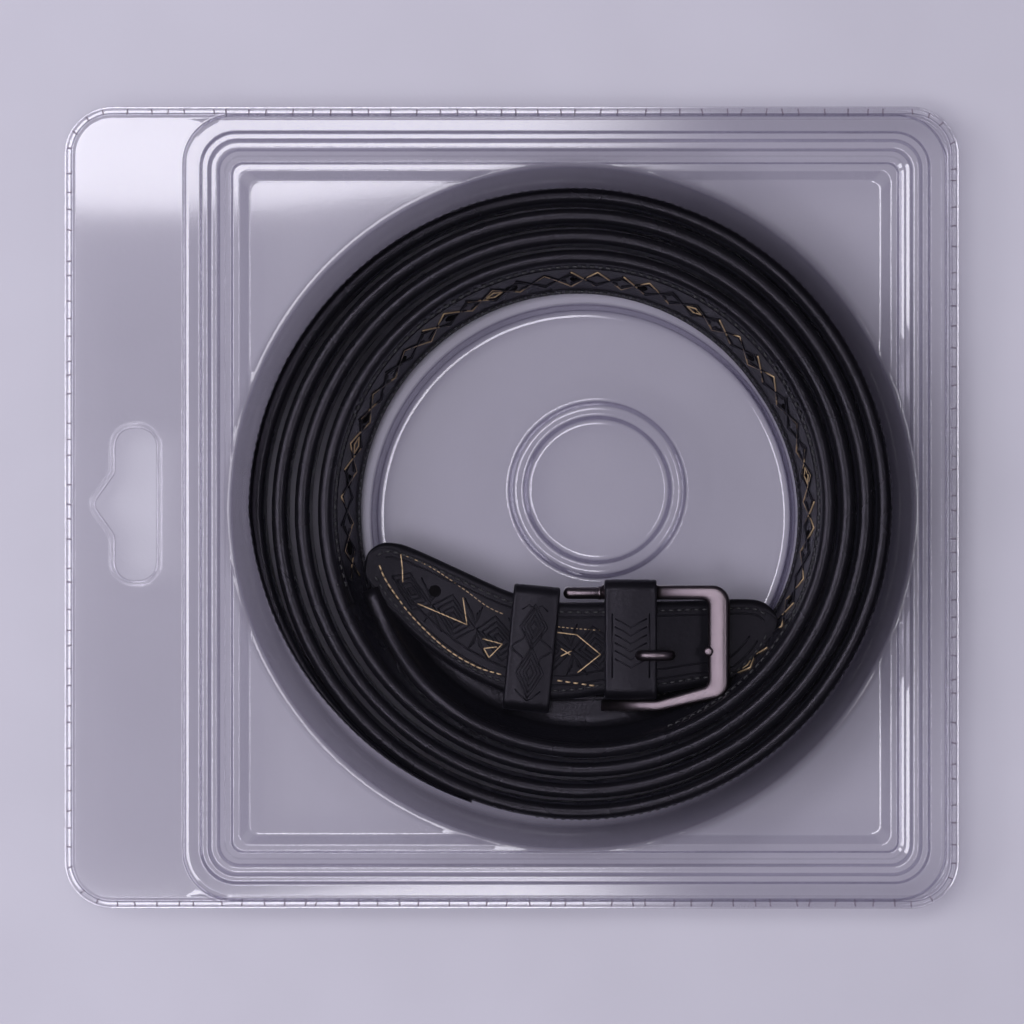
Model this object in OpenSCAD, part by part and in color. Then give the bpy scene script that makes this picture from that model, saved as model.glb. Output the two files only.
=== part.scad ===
// Clear hanging clamshell pack, welded shut round a coiled leather belt.
// Millimetres. X runs along the pack from the hang tab, Y across it, and +Z is the front.
// The origin is under the middle of the pack, on the surface that its back rests on.

/* [Pack outline] */
// Length over the welded flange, hang tab included
pack_l = 223.6; // [216:0.2:240]
// Width over the welded flange
pack_w = 200.4; // [196:0.2:214]
// Corner radius of the flange
flange_r = 12; // [4:0.5:16]
// Thickness of each clear sheet
sheet_t = 0.6; // [0.4:0.05:0.8]
// Height of the weld plane above the rest face
weld_z = 9; // [7:0.25:10]
// Width of the flat weld at the end away from the tab
weld_w = 3; // [2:0.1:4]
// Width of the flat weld at the two long sides
weld_side = 1.9; // [1.9:0.1:2.6]
// Length of the flat hang tab
tab_l = 29.6; // [24:0.2:34]

/* [Weld seam] */
// Width of the raised seam bead along the flange edge
seam_w = 1.5; // [1:0.1:1.8]
// Height of the seam bead
seam_h = 0.3; // [0.2:0.05:0.5]

/* [Hang slot] */
// Length of the slot
slot_l = 38; // [30:0.5:42]
// Width of the slot
slot_w = 10.2; // [8:0.2:11]
// Reach of the hook notch beyond the slot
notch_reach = 4.9; // [3:0.1:5.5]
// Tip radius of the hook notch
notch_r = 2.2; // [1.5:0.1:3]
// Half width of the notch at its mouth
notch_half = 7.7; // [6:0.1:9]
// Distance from the flange edge to the middle of the slot
slot_inset = 17.9; // [17:0.1:19]
// Width of the pressed lip round the slot
slot_lip = 1; // [0.6:0.1:1.4]

/* [Front frame] */
// Corner radius of the body where it leaves the flange
body_r = 12; // [11:0.5:14]
// Rise of the first step
step1_h = 4.4; // [3:0.2:6]
// Width of the first step's shelf
step1_w = 3.8; // [2:0.2:5]
// Rise of the second step
step2_h = 3.6; // [2:0.2:5]
// Width of the second step's shelf
step2_w = 2; // [1:0.2:3]
// Drop from the second shelf to the inner ledge
ledge_drop = 2.6; // [1:0.2:3.4]
// Width of the inner ledge
ledge_w = 2.6; // [1.6:0.2:3.5]
// Height of the bead inside the ledge
bead_h = 1.2; // [0.6:0.1:2]
// Width of the bead's crest
bead_w = 2; // [1.6:0.1:3]
// Drop from the bead to the recessed panel
panel_drop = 2.6; // [1.5:0.1:3]

/* [Round pan] */
// Radius of the round dome at its foot
dome_r = 84.6; // [83:0.2:86]
// Distance of the pan's centre from the pack's centre
pan_x = 15; // [13:0.5:17]
// Height of the dome's roof
roof_z = 29.5; // [28:0.25:34]
// Radius of the dome's shoulder
shoulder_r = 2.2; // [1:0.2:4]

/* [Pedestal] */
// Radius of the pedestal at its foot
ped_r = 53.4; // [48:0.2:54]
// Height of the pedestal's top face
ped_z = 10; // [8:0.25:12]
// Offset of the pedestal from the pan's centre
ped_shift = 3; // [0:0.5:4]
// Radius of the locating button at its foot
button_r = 22.2; // [14:0.2:22.2]
// Rise of the button above the pedestal
button_h = 9; // [4:0.5:12]
// Width of the button's stepped side
button_step = 2.4; // [1.5:0.1:3]

/* [Belt] */
// Width of the strap
strap_w = 24; // [22:0.25:24.25]
// Thickness of the strap
strap_t = 3.7; // [3:0.1:3.8]
// Radius of the outermost turn where it leaves the left side
coil_r = 78.5; // [77:0.1:79]
// Whole turns in the coil
coil_turns = 4; // [3:1:4]
// Fall of the radius at the left of each turn
fall_left = 1; // [0.9:0.05:1.1]
// Fall of the radius at the top of each turn
fall_top = 1.35; // [1.25:0.05:1.4]
// Fall of the radius at the right of each turn
fall_right = 1.55; // [1.45:0.05:1.6]
// Fall of the radius at the bottom of each turn
fall_bottom = 1.25; // [1.15:0.05:1.3]
// Most that the innermost turn leans back, in degrees
coil_lean = 19; // [5:1:19]
// Diameter of the buckle holes
hole_d = 2.9; // [2.7:0.1:3.4]

/* [Buckle and loops] */
// Reach of the buckle frame from its heel bar
frame_reach = 27.7; // [25:0.1:27.8]
// Width of the end bar
end_bar_w = 5.2; // [3:0.1:6]
// Width of the upper side rail
rail_w = 3.6; // [2.6:0.1:3.6]
// Thickness of the frame
frame_t = 3.2; // [2.4:0.1:3.4]
// Upward slope of the frame from its heel bar, in degrees
frame_tilt = 14; // [12:0.5:15]
// Diameter of the heel bar
heel_d = 1.8; // [1.4:0.1:2]
// Diameter of the prong
prong_d = 2.5; // [1.8:0.1:2.5]
// Length of the side peg
peg_l = 8.6; // [5:0.2:10]
// Diameter of the side peg
peg_d = 3; // [2.4:0.1:3]
// Leather thickness of the loops
loop_t = 1.2; // [0.9:0.1:1.3]
// Width of the keeper loop
keeper_w = 11.6; // [8:0.2:12]
// Width of the buckle loop
buckle_loop_w = 13; // [10:0.2:13]
// Thickness of the buckle tab
tab_t = 3; // [2.6:0.1:3.2]

/* [Hidden] */
$fn = 96;
// Running gap between pieces that fit together
fit = 0.1;
// Sideways run of a drafted wall for each millimetre of rise
draft = 0.14;
eps = 0.01;
// Inset of the seam bead from the flange edge
seam_in = 0.4;

// Flange outline and body outline
x_min = -pack_l / 2;
x_max = pack_l / 2;
y_max = pack_w / 2;
body_x0 = x_min + tab_l;
body_x1 = x_max - weld_w;
body_y = y_max - weld_side;
front_z = weld_z + sheet_t;

// Heights of the front frame's shelves
shelf1_z = front_z + step1_h;
shelf2_z = shelf1_z + step2_h;
ledge_z = shelf2_z - ledge_drop;
bead_z = ledge_z + bead_h;
panel_z = bead_z - panel_drop;

// Distances in from the body outline to each wall of the front frame
in_step2 = step1_h * draft + step1_w;
step2_run = step2_h * 0.7;
in_drop = in_step2 + step2_run + step2_w;
in_ledge = in_drop + ledge_drop * draft;
in_bead = in_ledge + ledge_w;
bead_run = bead_h * 0.6;
in_crest = bead_run + bead_w;
in_panel = in_bead + in_crest + panel_drop * 0.6;
bead_r = in_panel - in_bead + 1;

// Round features
pan_c = [pan_x, 0];
ped_c = [pan_x + ped_shift, -2.2];
floor_z = sheet_t;
ped_run = (ped_z - floor_z) * 0.22;
button_c = [ped_c.x + 3.4, ped_c.y + 6.6];
shelf_z = ped_z + button_h * 0.6;
button_z = ped_z + button_h;

// Coil: quarter arcs, each with its own centre, so that every joint is tangent
falls = [fall_left, fall_top, fall_right, fall_bottom];
fall_way = [[-1, 0], [0, 1], [1, 0], [0, -1]];
coil_c = [pan_c.x + 1.2, pan_c.y - 1.2];
// Angle short of the left side where the strap's outer end lies, and the inner end's angle past the bottom
outer_end = 70;
inner_end = 20;
edge_r = strap_t / 2;
half_web = strap_w / 2 - edge_r;
coil_quarters = coil_turns * 4;
lean_from = coil_quarters - 4;
section_n = 4;

// Flat end of the strap, stacked over the loops and the tab
loop_z = ped_z;
tab_z = loop_z + loop_t + fit;
strap_z = tab_z + tab_t + fit;
strap_top = strap_z + strap_t;
loop_top = strap_top + fit + loop_t;
flat_top = -23.2;
flat_bottom = -46.2;
tip_c = [-31.6, -13.6];
tip_r = 5;
tip_hole = [-19.1, -20.8];
bow_c = [18.5, 7.5];
bow_r = 56.3;
far_c = [59.6, -29.8];
far_r = 6.8;

// Buckle, on its heel bar; the loops' side walls stand clear of the strap and rail they hold
heel_x = 26.5;
heel_z = tab_z + tab_t / 2;
prong_y = -36.7;
riser_x = 31.2;
dip_x = 39.7;
side_gap = 0.3;
frame_lift = 1;
rail_in = flat_top + side_gap;
rail_out = rail_in + rail_w;
loop_out = rail_out + 0.2 + loop_t;
loop_low = flat_bottom - side_gap - loop_t;
heel_low = loop_low - fit;
loop_corner = 1.8;
loop_x = 29.6;

// The thin sheet under a drawn outer line: each point is [distance, height, side],
// and side says which way its wall faces, 1 for a wall that rises inwards and -1 for one that falls
function sheet_line(line) = concat(
    [for (p = line) [p[0], p[1]]],
    [for (i = [len(line) - 1 : -1 : 0])
        [line[i][0] + line[i][2] * sheet_t, line[i][1] - sheet_t]]);

// Points of an arc about c, from angle a0 to a1
function arc(c, r, a0, a1, n) =
    [for (i = [0 : n]) c + r * [cos(a0 + (a1 - a0) * i / n), sin(a0 + (a1 - a0) * i / n)]];

module rounded_rect(x0, x1, y, r) {
    union() {
        translate([x0 + r, -y]) square([x1 - x0 - 2 * r, 2 * y]);
        translate([x0, -y + r]) square([x1 - x0, 2 * y - 2 * r]);
        for (x = [x0 + r, x1 - r], s = [-1, 1]) translate([x, s * (y - r)]) circle(r);
    }
}

// A section swept round a rounded rectangle, its first axis measured inwards
module frame_sweep(x0, x1, y, r, line) {
    mid = (x0 + x1) / 2;
    half = (x1 - x0) / 2;
    for (s = [0, 1]) translate([mid, 0, 0]) rotate([0, 0, 180 * s]) {
        translate([-half, y - r, 0]) rotate([90, 0, 0]) linear_extrude(2 * (y - r)) polygon(line);
        translate([-half + r, -y, 0]) rotate([90, 0, 90]) linear_extrude(2 * (half - r)) polygon(line);
        translate([half - r, y - r, 0]) rotate_extrude(angle = 90)
            polygon([for (p = line) [r - p[0], p[1]]]);
        translate([-half + r, y - r, 0]) rotate([0, 0, 90]) rotate_extrude(angle = 90)
            polygon([for (p = line) [r - p[0], p[1]]]);
    }
}

// Slot with its hook notch towards the tab's edge, grown by g all round
module slot_shape(g) {
    end_y = (slot_l - slot_w) / 2;
    side_x = -slot_w / 2;
    union() {
        translate([side_x - g, -end_y]) square([slot_w + 2 * g, 2 * end_y]);
        for (s = [-1, 1]) translate([0, s * end_y]) circle(slot_w / 2 + g);
        translate([side_x - notch_reach + notch_r, 0]) circle(notch_r + g);
        polygon([[side_x, notch_half + g], [side_x - notch_reach + notch_r / 2, notch_r * 0.8 + g],
                 [side_x - notch_reach + notch_r / 2, -notch_r * 0.8 - g], [side_x, -notch_half - g]]);
    }
}

module slot_place() {
    translate([x_min + slot_inset, 0.8, 0]) children();
}

// The flat flange and hang tab of one sheet
module flange(z) {
    translate([0, 0, z]) linear_extrude(sheet_t) difference() {
        rounded_rect(x_min, x_max, y_max, flange_r);
        rounded_rect(body_x0 + sheet_t / 2, body_x1 - sheet_t / 2, body_y - sheet_t / 2,
                     body_r - sheet_t / 2);
        slot_place() slot_shape(0);
    }
}

// Front half: stepped frame, recessed panel and round dome, pressed from one sheet
module front_shell() {
    steps = sheet_line([
        [0, front_z, 1], [step1_h * draft, shelf1_z, 1],
        [in_step2, shelf1_z, 1], [in_step2 + step2_run, shelf2_z, 1],
        [in_drop, shelf2_z, -1], [in_ledge, ledge_z, -1],
        [in_ledge + 1, ledge_z, -1]]);
    bead = sheet_line([
        [-1, ledge_z, 1], [0, ledge_z, 1], [bead_run, bead_z, 1],
        [in_crest, bead_z, -1], [in_panel - in_bead, panel_z, -1],
        [in_panel - in_bead + 0.8, panel_z, -1]]);
    dome = concat(
        [[dome_r, panel_z - sheet_t], [dome_r - sheet_t, panel_z - sheet_t]],
        [[dome_r - sheet_t - (roof_z - panel_z) * draft, roof_z - shoulder_r]],
        arc([dome_r - (roof_z - panel_z) * draft - shoulder_r, roof_z - shoulder_r],
            shoulder_r - sheet_t, 0, 90, 5),
        [[0, roof_z - sheet_t], [0, roof_z]],
        arc([dome_r - (roof_z - panel_z) * draft - shoulder_r, roof_z - shoulder_r],
            shoulder_r, 90, 0, 5));
    color([0.86, 0.86, 0.94, 0.3]) union() {
        flange(weld_z);
        seam_bead();
        slot_lip_ring();
        difference() {
            union() {
                frame_sweep(body_x0, body_x1, body_y, body_r, steps);
                frame_sweep(body_x0 + in_bead, body_x1 - in_bead, body_y - in_bead, bead_r, bead);
                translate([0, 0, ledge_z - sheet_t]) linear_extrude(sheet_t) difference() {
                    rounded_rect(body_x0 + in_ledge + 0.3, body_x1 - in_ledge - 0.3,
                                 body_y - in_ledge - 0.3, 1);
                    rounded_rect(body_x0 + in_bead - 0.3, body_x1 - in_bead + 0.3,
                                 body_y - in_bead + 0.3, bead_r);
                }
                translate([0, 0, panel_z - sheet_t]) linear_extrude(sheet_t)
                    rounded_rect(body_x0 + in_panel, body_x1 - in_panel, body_y - in_panel, 1);
            }
            translate([pan_c.x, pan_c.y, 0]) cylinder(r = dome_r - sheet_t / 2, h = roof_z);
        }
        translate([pan_c.x, pan_c.y, 0]) rotate_extrude() polygon(dome);
    }
}

// Raised bead that the weld leaves along the flange edge
module seam_bead() {
    translate([0, 0, weld_z + sheet_t - eps]) linear_extrude(seam_h + eps) difference() {
        rounded_rect(x_min + seam_in, x_max - seam_in, y_max - seam_in, flange_r - seam_in);
        rounded_rect(x_min + seam_in + seam_w, x_max - seam_in - seam_w, y_max - seam_in - seam_w,
                     flange_r - seam_in - seam_w);
    }
}

module slot_lip_ring() {
    translate([0, 0, weld_z + sheet_t - eps]) linear_extrude(seam_h + eps) slot_place() difference() {
        slot_shape(slot_lip);
        slot_shape(0);
    }
}

// Back half: tray with a flat floor, a round pedestal and a stepped locating button
module back_shell() {
    wall_run = weld_z * draft;
    wall = [[0, weld_z], [0, weld_z - sheet_t], [wall_run, 0], [wall_run + 2, 0],
            [wall_run + 2, sheet_t], [wall_run + sheet_t, sheet_t], [sheet_t, weld_z]];
    rise = sheet_line([[-1, floor_z, 1], [0, floor_z, 1],
                       [ped_run, ped_z, 1], [ped_run + 1, ped_z, 1]]);
    steps = sheet_line([[-1, ped_z, 1], [0, ped_z, 1],
                        [button_h * draft, shelf_z, 1], [button_h * draft + button_step, shelf_z, 1],
                        [button_h * draft * 2 + button_step, button_z, 1],
                        [button_h * draft * 2 + button_step + 1, button_z, 1]]);
    button_top = button_r - button_h * draft * 2 - button_step - 0.5;
    color([0.84, 0.84, 0.93, 0.3]) union() {
        flange(weld_z - sheet_t);
        frame_sweep(body_x0, body_x1, body_y, body_r, wall);
        linear_extrude(sheet_t) difference() {
            rounded_rect(body_x0 + wall_run + 1, body_x1 - wall_run - 1,
                         body_y - wall_run - 1, body_r - wall_run - 1);
            translate(ped_c) circle(ped_r + 0.5);
        }
        translate([ped_c.x, ped_c.y, 0]) rotate_extrude()
            polygon([for (p = rise) [ped_r - p[0], p[1]]]);
        translate([0, 0, ped_z - sheet_t]) linear_extrude(sheet_t) difference() {
            translate(ped_c) circle(ped_r - ped_run - 0.8);
            translate(button_c) circle(button_r + 0.5);
        }
        translate([button_c.x, button_c.y, 0]) rotate_extrude()
            polygon([for (p = steps) [button_r - p[0], p[1]]]);
        translate([button_c.x, button_c.y, button_z - sheet_t])
            cylinder(r = button_top - 0.3, h = sheet_t);
    }
}

// Section of the strap: flat faces and round edges, standing on its lower edge
function strap_section() = concat(
    arc([0, half_web], edge_r, 0, 180, section_n),
    arc([0, -half_web], edge_r, 180, 360, section_n));

// Radius and centre of quarter arc q, counted inwards from the left side
function coil_fall(q) = q <= 0 ? 0 : coil_fall(q - 1) + falls[(q - 1) % 4];
function coil_centre(q) = q <= 0 ? coil_c : coil_centre(q - 1) + falls[(q - 1) % 4] * fall_way[(q - 1) % 4];
function coil_radius(q) = coil_r + falls[0] - coil_fall(q);

// Distance from point c to the pedestal's foot in direction u
function to_pedestal(c, u) =
    let (d = c - ped_c, k = d * u) -k + sqrt(k * k - d * d + ped_r * ped_r);

// The innermost turn leans back until its foot meets the pedestal
function lean_at(turned, c, r, u) =
    let (ease = min(1, turned / 90), room = r - edge_r - 0.4 - to_pedestal(c, u))
    min(coil_lean, asin(max(0, min(1, room / (2 * half_web))))) * ease * ease * (3 - 2 * ease);

// One cross-section of the leaning turn, turned by an angle from the left side
function lean_ring(turned) =
    let (q = min(coil_quarters, lean_from + 1 + floor(turned / 90)),
         c = coil_centre(q), r = coil_radius(q), a = 180 - turned, u = [cos(a), sin(a)],
         lean = lean_at(turned + 90, c, r, u),
         mid_r = r - half_web * sin(lean), mid_z = floor_z + edge_r + half_web * cos(lean))
    [for (p = strap_section())
        let (out = mid_r + p[0] * cos(lean) + p[1] * sin(lean), up = mid_z - p[0] * sin(lean) + p[1] * cos(lean))
        [c.x + out * u.x, c.y + out * u.y, up]];

// Skin over rings of points, closed at both ends
module skin(rings) {
    n = len(rings[0]);
    m = len(rings);
    polyhedron(
        points = [for (ring = rings, p = ring) p],
        faces = concat(
            [[for (i = [0 : n - 1]) i]],
            [for (k = [0 : m - 2], i = [0 : n - 1])
                [k * n + i, (k + 1) * n + (i + 1) % n, k * n + (i + 1) % n]],
            [for (k = [0 : m - 2], i = [0 : n - 1])
                [k * n + i, (k + 1) * n + i, (k + 1) * n + (i + 1) % n]],
            [[for (i = [n - 1 : -1 : 0]) (m - 1) * n + i]]));
}

// Coil of strap on its edge: exact arcs, then the leaning innermost turn
module strap_coil() {
    rings = [for (t = [-90 : 7.5 : 270 + inner_end]) lean_ring(t)];
    for (q = [0 : lean_from - 1]) {
        c = coil_centre(q);
        turn = q == 0 ? outer_end : 90;
        translate([c.x, c.y, floor_z + strap_w / 2]) rotate([0, 0, 180 - 90 * q])
            rotate_extrude(angle = turn)
                translate([coil_radius(q), 0]) polygon(strap_section());
    }
    skin(rings);
}

// Plan of the flat end, from its rounded tip to where it meets the coil
module flat_plan() {
    polygon(concat(
        arc(bow_c, bow_r, 208, 249, 7),
        [[8, flat_bottom - 1.2], [18, flat_bottom - 1], [22, flat_bottom], [36, flat_bottom],
         [46, flat_bottom + 1.8], [52, flat_bottom + 1.8], far_c + [-1.6, -12.6], far_c + [6.4, -4.4]],
        arc(far_c, far_r, -20, 90, 5),
        [[46, flat_top + 0.2], [12, flat_top], [4, flat_top + 0.8], [-14, flat_top + 8.4]],
        arc(tip_c, tip_r, 75, 200, 5)));
}

// Side view of the flat end: it climbs over the tab, runs under the end bar and drops to the pedestal
module flat_side() {
    under = [[-40, ped_z + 0.2], [-24, ped_z + 0.2], [-5, strap_z], [33, strap_z],
             [45, ped_z + 1.6], [56, ped_z + 0.2], [70, ped_z + 0.2]];
    rotate([90, 0, 0]) linear_extrude(100, center = true) polygon(concat(
        under, [for (i = [len(under) - 1 : -1 : 0]) under[i] + [0, strap_t]]));
}

module belt_strap() {
    color([0.09, 0.085, 0.11]) union() {
        strap_coil();
        difference() {
            intersection() {
                linear_extrude(40) flat_plan();
                flat_side();
            }
            for (x = [riser_x, dip_x]) translate([x, prong_y, 0]) cylinder(d = hole_d, h = 40);
            translate([tip_hole.x, tip_hole.y, 0]) cylinder(d = hole_d, h = 40);
        }
    }
}

// Leather tab folded round the heel bar, under the strap
module buckle_tab() {
    y0 = flat_bottom + 0.4;
    w = flat_top - 0.4 - y0;
    color([0.1, 0.09, 0.12]) difference() {
        union() {
            translate([-3, y0, tab_z]) cube([heel_x + 3, w, tab_t]);
            translate([heel_x, y0, heel_z]) rotate([-90, 0, 0]) cylinder(d = tab_t, h = w);
        }
        translate([heel_x, y0 - 1, heel_z]) rotate([-90, 0, 0]) cylinder(d = heel_d + 2 * fit, h = w + 2);
        translate([heel_x - tab_t, prong_y - prong_d / 2 - 0.3, tab_z - 1])
            cube([2 * tab_t, prong_d + 0.6, tab_t + 2]);
    }
}

// Rounded tube of leather, with its opening along X
module loop_tube(w, len_out, lo, hi) {
    module ring(g) {
        r = loop_corner - g;
        y = len_out / 2 - g;
        union() {
            translate([-y + r, lo + g]) square([2 * y - 2 * r, hi - lo - 2 * g]);
            translate([-y, lo + g + r]) square([2 * y, hi - lo - 2 * g - 2 * r]);
            for (s = [-1, 1], z = [lo + g + r, hi - g - r]) translate([s * (y - r), z]) circle(r);
        }
    }
    rotate([90, 0, 90]) linear_extrude(w, center = true) difference() {
        ring(0);
        ring(loop_t);
    }
}

module keeper_loop() {
    color([0.1, 0.09, 0.12]) translate([4.95, -35, 0]) rotate([0, 0, -5.5])
        loop_tube(keeper_w, 31.4, loop_z, loop_top);
}

module buckle_loop() {
    color([0.1, 0.09, 0.12]) difference() {
        translate([loop_x, (loop_out + loop_low) / 2, 0])
            loop_tube(buckle_loop_w, loop_out - loop_low, loop_z, loop_top);
        translate([riser_x, prong_y, loop_top - loop_t - 1]) cylinder(d = hole_d, h = loop_t + 2);
        translate([heel_x, loop_low - 1, heel_z]) rotate([-90, 0, 0])
            cylinder(d = heel_d + 2 * fit, h = loop_t + 2);
    }
}

// Frame: heel bar, two rails, a broad end bar with its prong rest, and a side peg
module buckle_frame() {
    low_w = 3;
    corner = 4.5;
    turn = 10.4;
    stub = 3.7;
    end_y = -46.6;
    reach = frame_reach;
    color([0.62, 0.58, 0.6]) union() {
        translate([heel_x, 0, heel_z]) rotate([0, -frame_tilt, 0]) translate([0, 0, frame_lift]) {
            translate([0, 0, -frame_t / 2]) linear_extrude(frame_t) difference() {
                union() {
                    polygon([[-stub, rail_out], [reach - corner, rail_out], [reach, rail_out - corner],
                             [reach, end_y + corner], [reach - corner, end_y],
                             [turn, heel_low - low_w], [-stub, heel_low - low_w]]);
                    translate([reach - corner, rail_out - corner]) circle(corner);
                    translate([reach - corner, end_y + corner]) circle(corner);
                }
                polygon([[-stub - 1, rail_in], [reach - end_bar_w, rail_in],
                         [reach - end_bar_w, end_y + low_w], [turn, heel_low], [-stub - 1, heel_low]]);
            }
            translate([reach - end_bar_w + 0.2, prong_y + 1, -frame_t / 2])
                cylinder(d = 2.4, h = frame_t + 0.4);
        }
        translate([heel_x, heel_low - low_w / 2, heel_z]) rotate([-90, 0, 0])
            cylinder(d = heel_d, h = rail_in + rail_w / 3 - heel_low + low_w / 2);
        translate([heel_x - stub - peg_l, rail_out - rail_w / 2, heel_z + fit]) {
            rotate([0, 90, 0]) cylinder(d = peg_d, h = peg_l + 1);
            sphere(d = peg_d);
        }
    }
}

// Prong: eye on the heel bar, riser through the strap and loop, arch, and a tip in the next hole
module buckle_prong() {
    shank_d = 2;
    arch_z = loop_top + prong_d / 2 + fit;
    tip_z = strap_z + 0.6;
    color([0.66, 0.62, 0.64]) difference() {
        union() {
            translate([heel_x, prong_y - prong_d / 2, heel_z]) rotate([-90, 0, 0])
                cylinder(d = tab_t, h = prong_d);
            translate([heel_x, prong_y, heel_z]) rotate([0, 90, 0])
                cylinder(d = shank_d, h = riser_x - heel_x);
            translate([riser_x, prong_y, heel_z - shank_d / 2])
                cylinder(d = prong_d, h = arch_z - heel_z + shank_d / 2);
            translate([dip_x, prong_y, tip_z]) cylinder(d = prong_d, h = arch_z - tip_z);
            translate([riser_x, prong_y, arch_z]) rotate([0, 90, 0])
                cylinder(d = prong_d, h = dip_x - riser_x);
            for (x = [riser_x, dip_x]) translate([x, prong_y, arch_z]) sphere(d = prong_d);
        }
        translate([heel_x, prong_y - prong_d, heel_z]) rotate([-90, 0, 0])
            cylinder(d = heel_d + fit, h = 2 * prong_d);
    }
}

front_shell();
back_shell();
belt_strap();
buckle_tab();
keeper_loop();
buckle_loop();
buckle_frame();
buckle_prong();
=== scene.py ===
"""Looks of a clear clamshell pack, welded shut round a coiled leather belt."""

import math

import bmesh
import bpy
import numpy as np
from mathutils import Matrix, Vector
from mathutils.geometry import delaunay_2d_cdt


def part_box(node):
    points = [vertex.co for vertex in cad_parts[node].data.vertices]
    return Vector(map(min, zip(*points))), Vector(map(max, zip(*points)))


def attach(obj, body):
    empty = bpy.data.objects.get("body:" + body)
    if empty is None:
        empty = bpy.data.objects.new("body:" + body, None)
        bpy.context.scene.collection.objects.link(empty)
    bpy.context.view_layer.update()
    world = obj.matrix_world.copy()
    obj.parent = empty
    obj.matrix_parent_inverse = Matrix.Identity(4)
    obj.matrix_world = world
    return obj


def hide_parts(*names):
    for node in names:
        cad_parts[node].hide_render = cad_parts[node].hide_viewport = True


bl_info = {
    "name": "Clear belt pack",
    "version": (1, 0, 0),
    "blender": (4, 5, 0),
    "location": "View3D > Sidebar > Belt pack",
    "description": "Builds the visible pieces of a clear clamshell pack with a coiled belt",
    "category": "Object",
}

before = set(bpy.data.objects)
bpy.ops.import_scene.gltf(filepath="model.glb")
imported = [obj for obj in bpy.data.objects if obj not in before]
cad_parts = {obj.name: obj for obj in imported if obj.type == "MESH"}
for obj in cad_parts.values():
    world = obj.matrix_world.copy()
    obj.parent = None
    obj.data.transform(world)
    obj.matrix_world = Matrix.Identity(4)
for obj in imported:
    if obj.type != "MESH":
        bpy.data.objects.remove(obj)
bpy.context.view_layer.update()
MM = 0.001

# Every size below is in millimetres, in the pack's own frame


def corners(node):
    """Lowest and highest corner of a solid, in millimetres."""
    low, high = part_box(node)
    return np.array(low) / MM, np.array(high) / MM


SHELL_LOW, SHELL_HIGH = corners("front_shell")


# Shader building


class Number:
    """A shader socket that takes part in sums as a plain number does."""

    def __init__(self, tree, socket):
        self.tree = tree
        self.socket = socket

    def _sum(self, operation, first, second):
        return self.tree.add("ShaderNodeMath", {"operation": operation}, {0: first, 1: second})

    def __add__(self, other):
        return self._sum("ADD", self, other)

    def __radd__(self, other):
        return self._sum("ADD", other, self)

    def __sub__(self, other):
        return self._sum("SUBTRACT", self, other)

    def __rsub__(self, other):
        return self._sum("SUBTRACT", other, self)

    def __mul__(self, other):
        return self._sum("MULTIPLY", self, other)

    def __rmul__(self, other):
        return self._sum("MULTIPLY", other, self)

    def __pow__(self, other):
        return self._sum("POWER", self, other)


class Tree:
    """A node tree. Any node comes from add(), which gives its output as a Number."""

    def __init__(self, owner):
        owner.use_nodes = True
        self.tree = owner.node_tree
        self.tree.nodes.clear()

    def add(self, kind, settings=None, sockets=None, output=0):
        """A node of a kind, its settings made first, then the values or links of its sockets."""
        node = self.tree.nodes.new(kind)
        for name, value in (settings or {}).items():
            setattr(node, name, value)
        for name, value in (sockets or {}).items():
            if isinstance(value, Number):
                self.tree.links.new(value.socket, node.inputs[name])
            else:
                node.inputs[name].default_value = value
        return Number(self, node.outputs[output])

    def mix(self, factor, first, second):
        """One colour faded into another."""
        colors = {0: factor, 6: first, 7: second}
        return self.add("ShaderNodeMix", {"data_type": "RGBA"}, colors, 2)

    def noise(self, scale, detail=3.0, stretch=(1, 1, 1)):
        """Soft noise over the object, with so many waves in a metre along each axis."""
        place = self.add("ShaderNodeTexCoord", output="Object")
        place = self.add("ShaderNodeMapping", sockets={"Vector": place, "Scale": stretch})
        return self.add("ShaderNodeTexNoise", sockets={"Vector": place, "Scale": scale, "Detail": detail})

    def cells(self, scale):
        """Distance from the nearest grain cell's middle."""
        place = self.add("ShaderNodeTexCoord", output="Object")
        return self.add("ShaderNodeTexVoronoi", sockets={"Vector": place, "Scale": scale})

    def ramp(self, value, start, stop):
        """0 before the start, 1 past the stop, and a smooth rise between them."""
        return self.add("ShaderNodeMapRange", {"interpolation_type": "SMOOTHSTEP"}, {
            "Value": value, "From Min": start, "From Max": stop, "To Min": 0.0, "To Max": 1.0})

    def bump(self, height, strength, distance):
        """A normal that follows a height."""
        return self.add("ShaderNodeBump", sockets={
            "Height": height, "Strength": strength, "Distance": distance * MM})

    def clear(self, color):
        """A shader that lets light through and tints it."""
        return self.add("ShaderNodeBsdfTransparent", sockets={"Color": solid(color)})

    def blend(self, factor, first, second):
        """One shader faded into another."""
        return self.add("ShaderNodeMixShader", sockets={0: factor, 1: first, 2: second})

    def body(self, sockets):
        """A shader with colour, roughness and gloss."""
        return self.add("ShaderNodeBsdfPrincipled", sockets=sockets)

    def end(self, shader, kind="Material"):
        """Ends the tree in an output node."""
        kind = "ShaderNodeOutput" + kind
        node = self.tree.nodes.new(kind)
        self.tree.links.new(shader.socket, node.inputs["Surface"])


def solid(color):
    """A colour with full alpha."""
    return (*color, 1.0)


FINISHES = {}
# How soon a sheet turns violet as it turns edge on: a dark tint that is partly its longer path and partly
# painted shade for what its walls refract and mirror
EDGE_ON = 1.35
# Shares of the gloss that the dome's roof and shoulder lose, and that the back sheet's lower face keeps
ROOF_MATT = 0.6
BAND_MATT = 0.9
UNDER_GLOSS = 0.6
# Grain cells in a metre, roughness and shine of each leather
LEATHERS = {
    "strap_edge_leather": (950.0, 0.22, 0.25),
    "strap_face_leather": (700.0, 0.34, 0.11),
    "loop_leather": (800.0, 0.3, 0.18),
}
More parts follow.
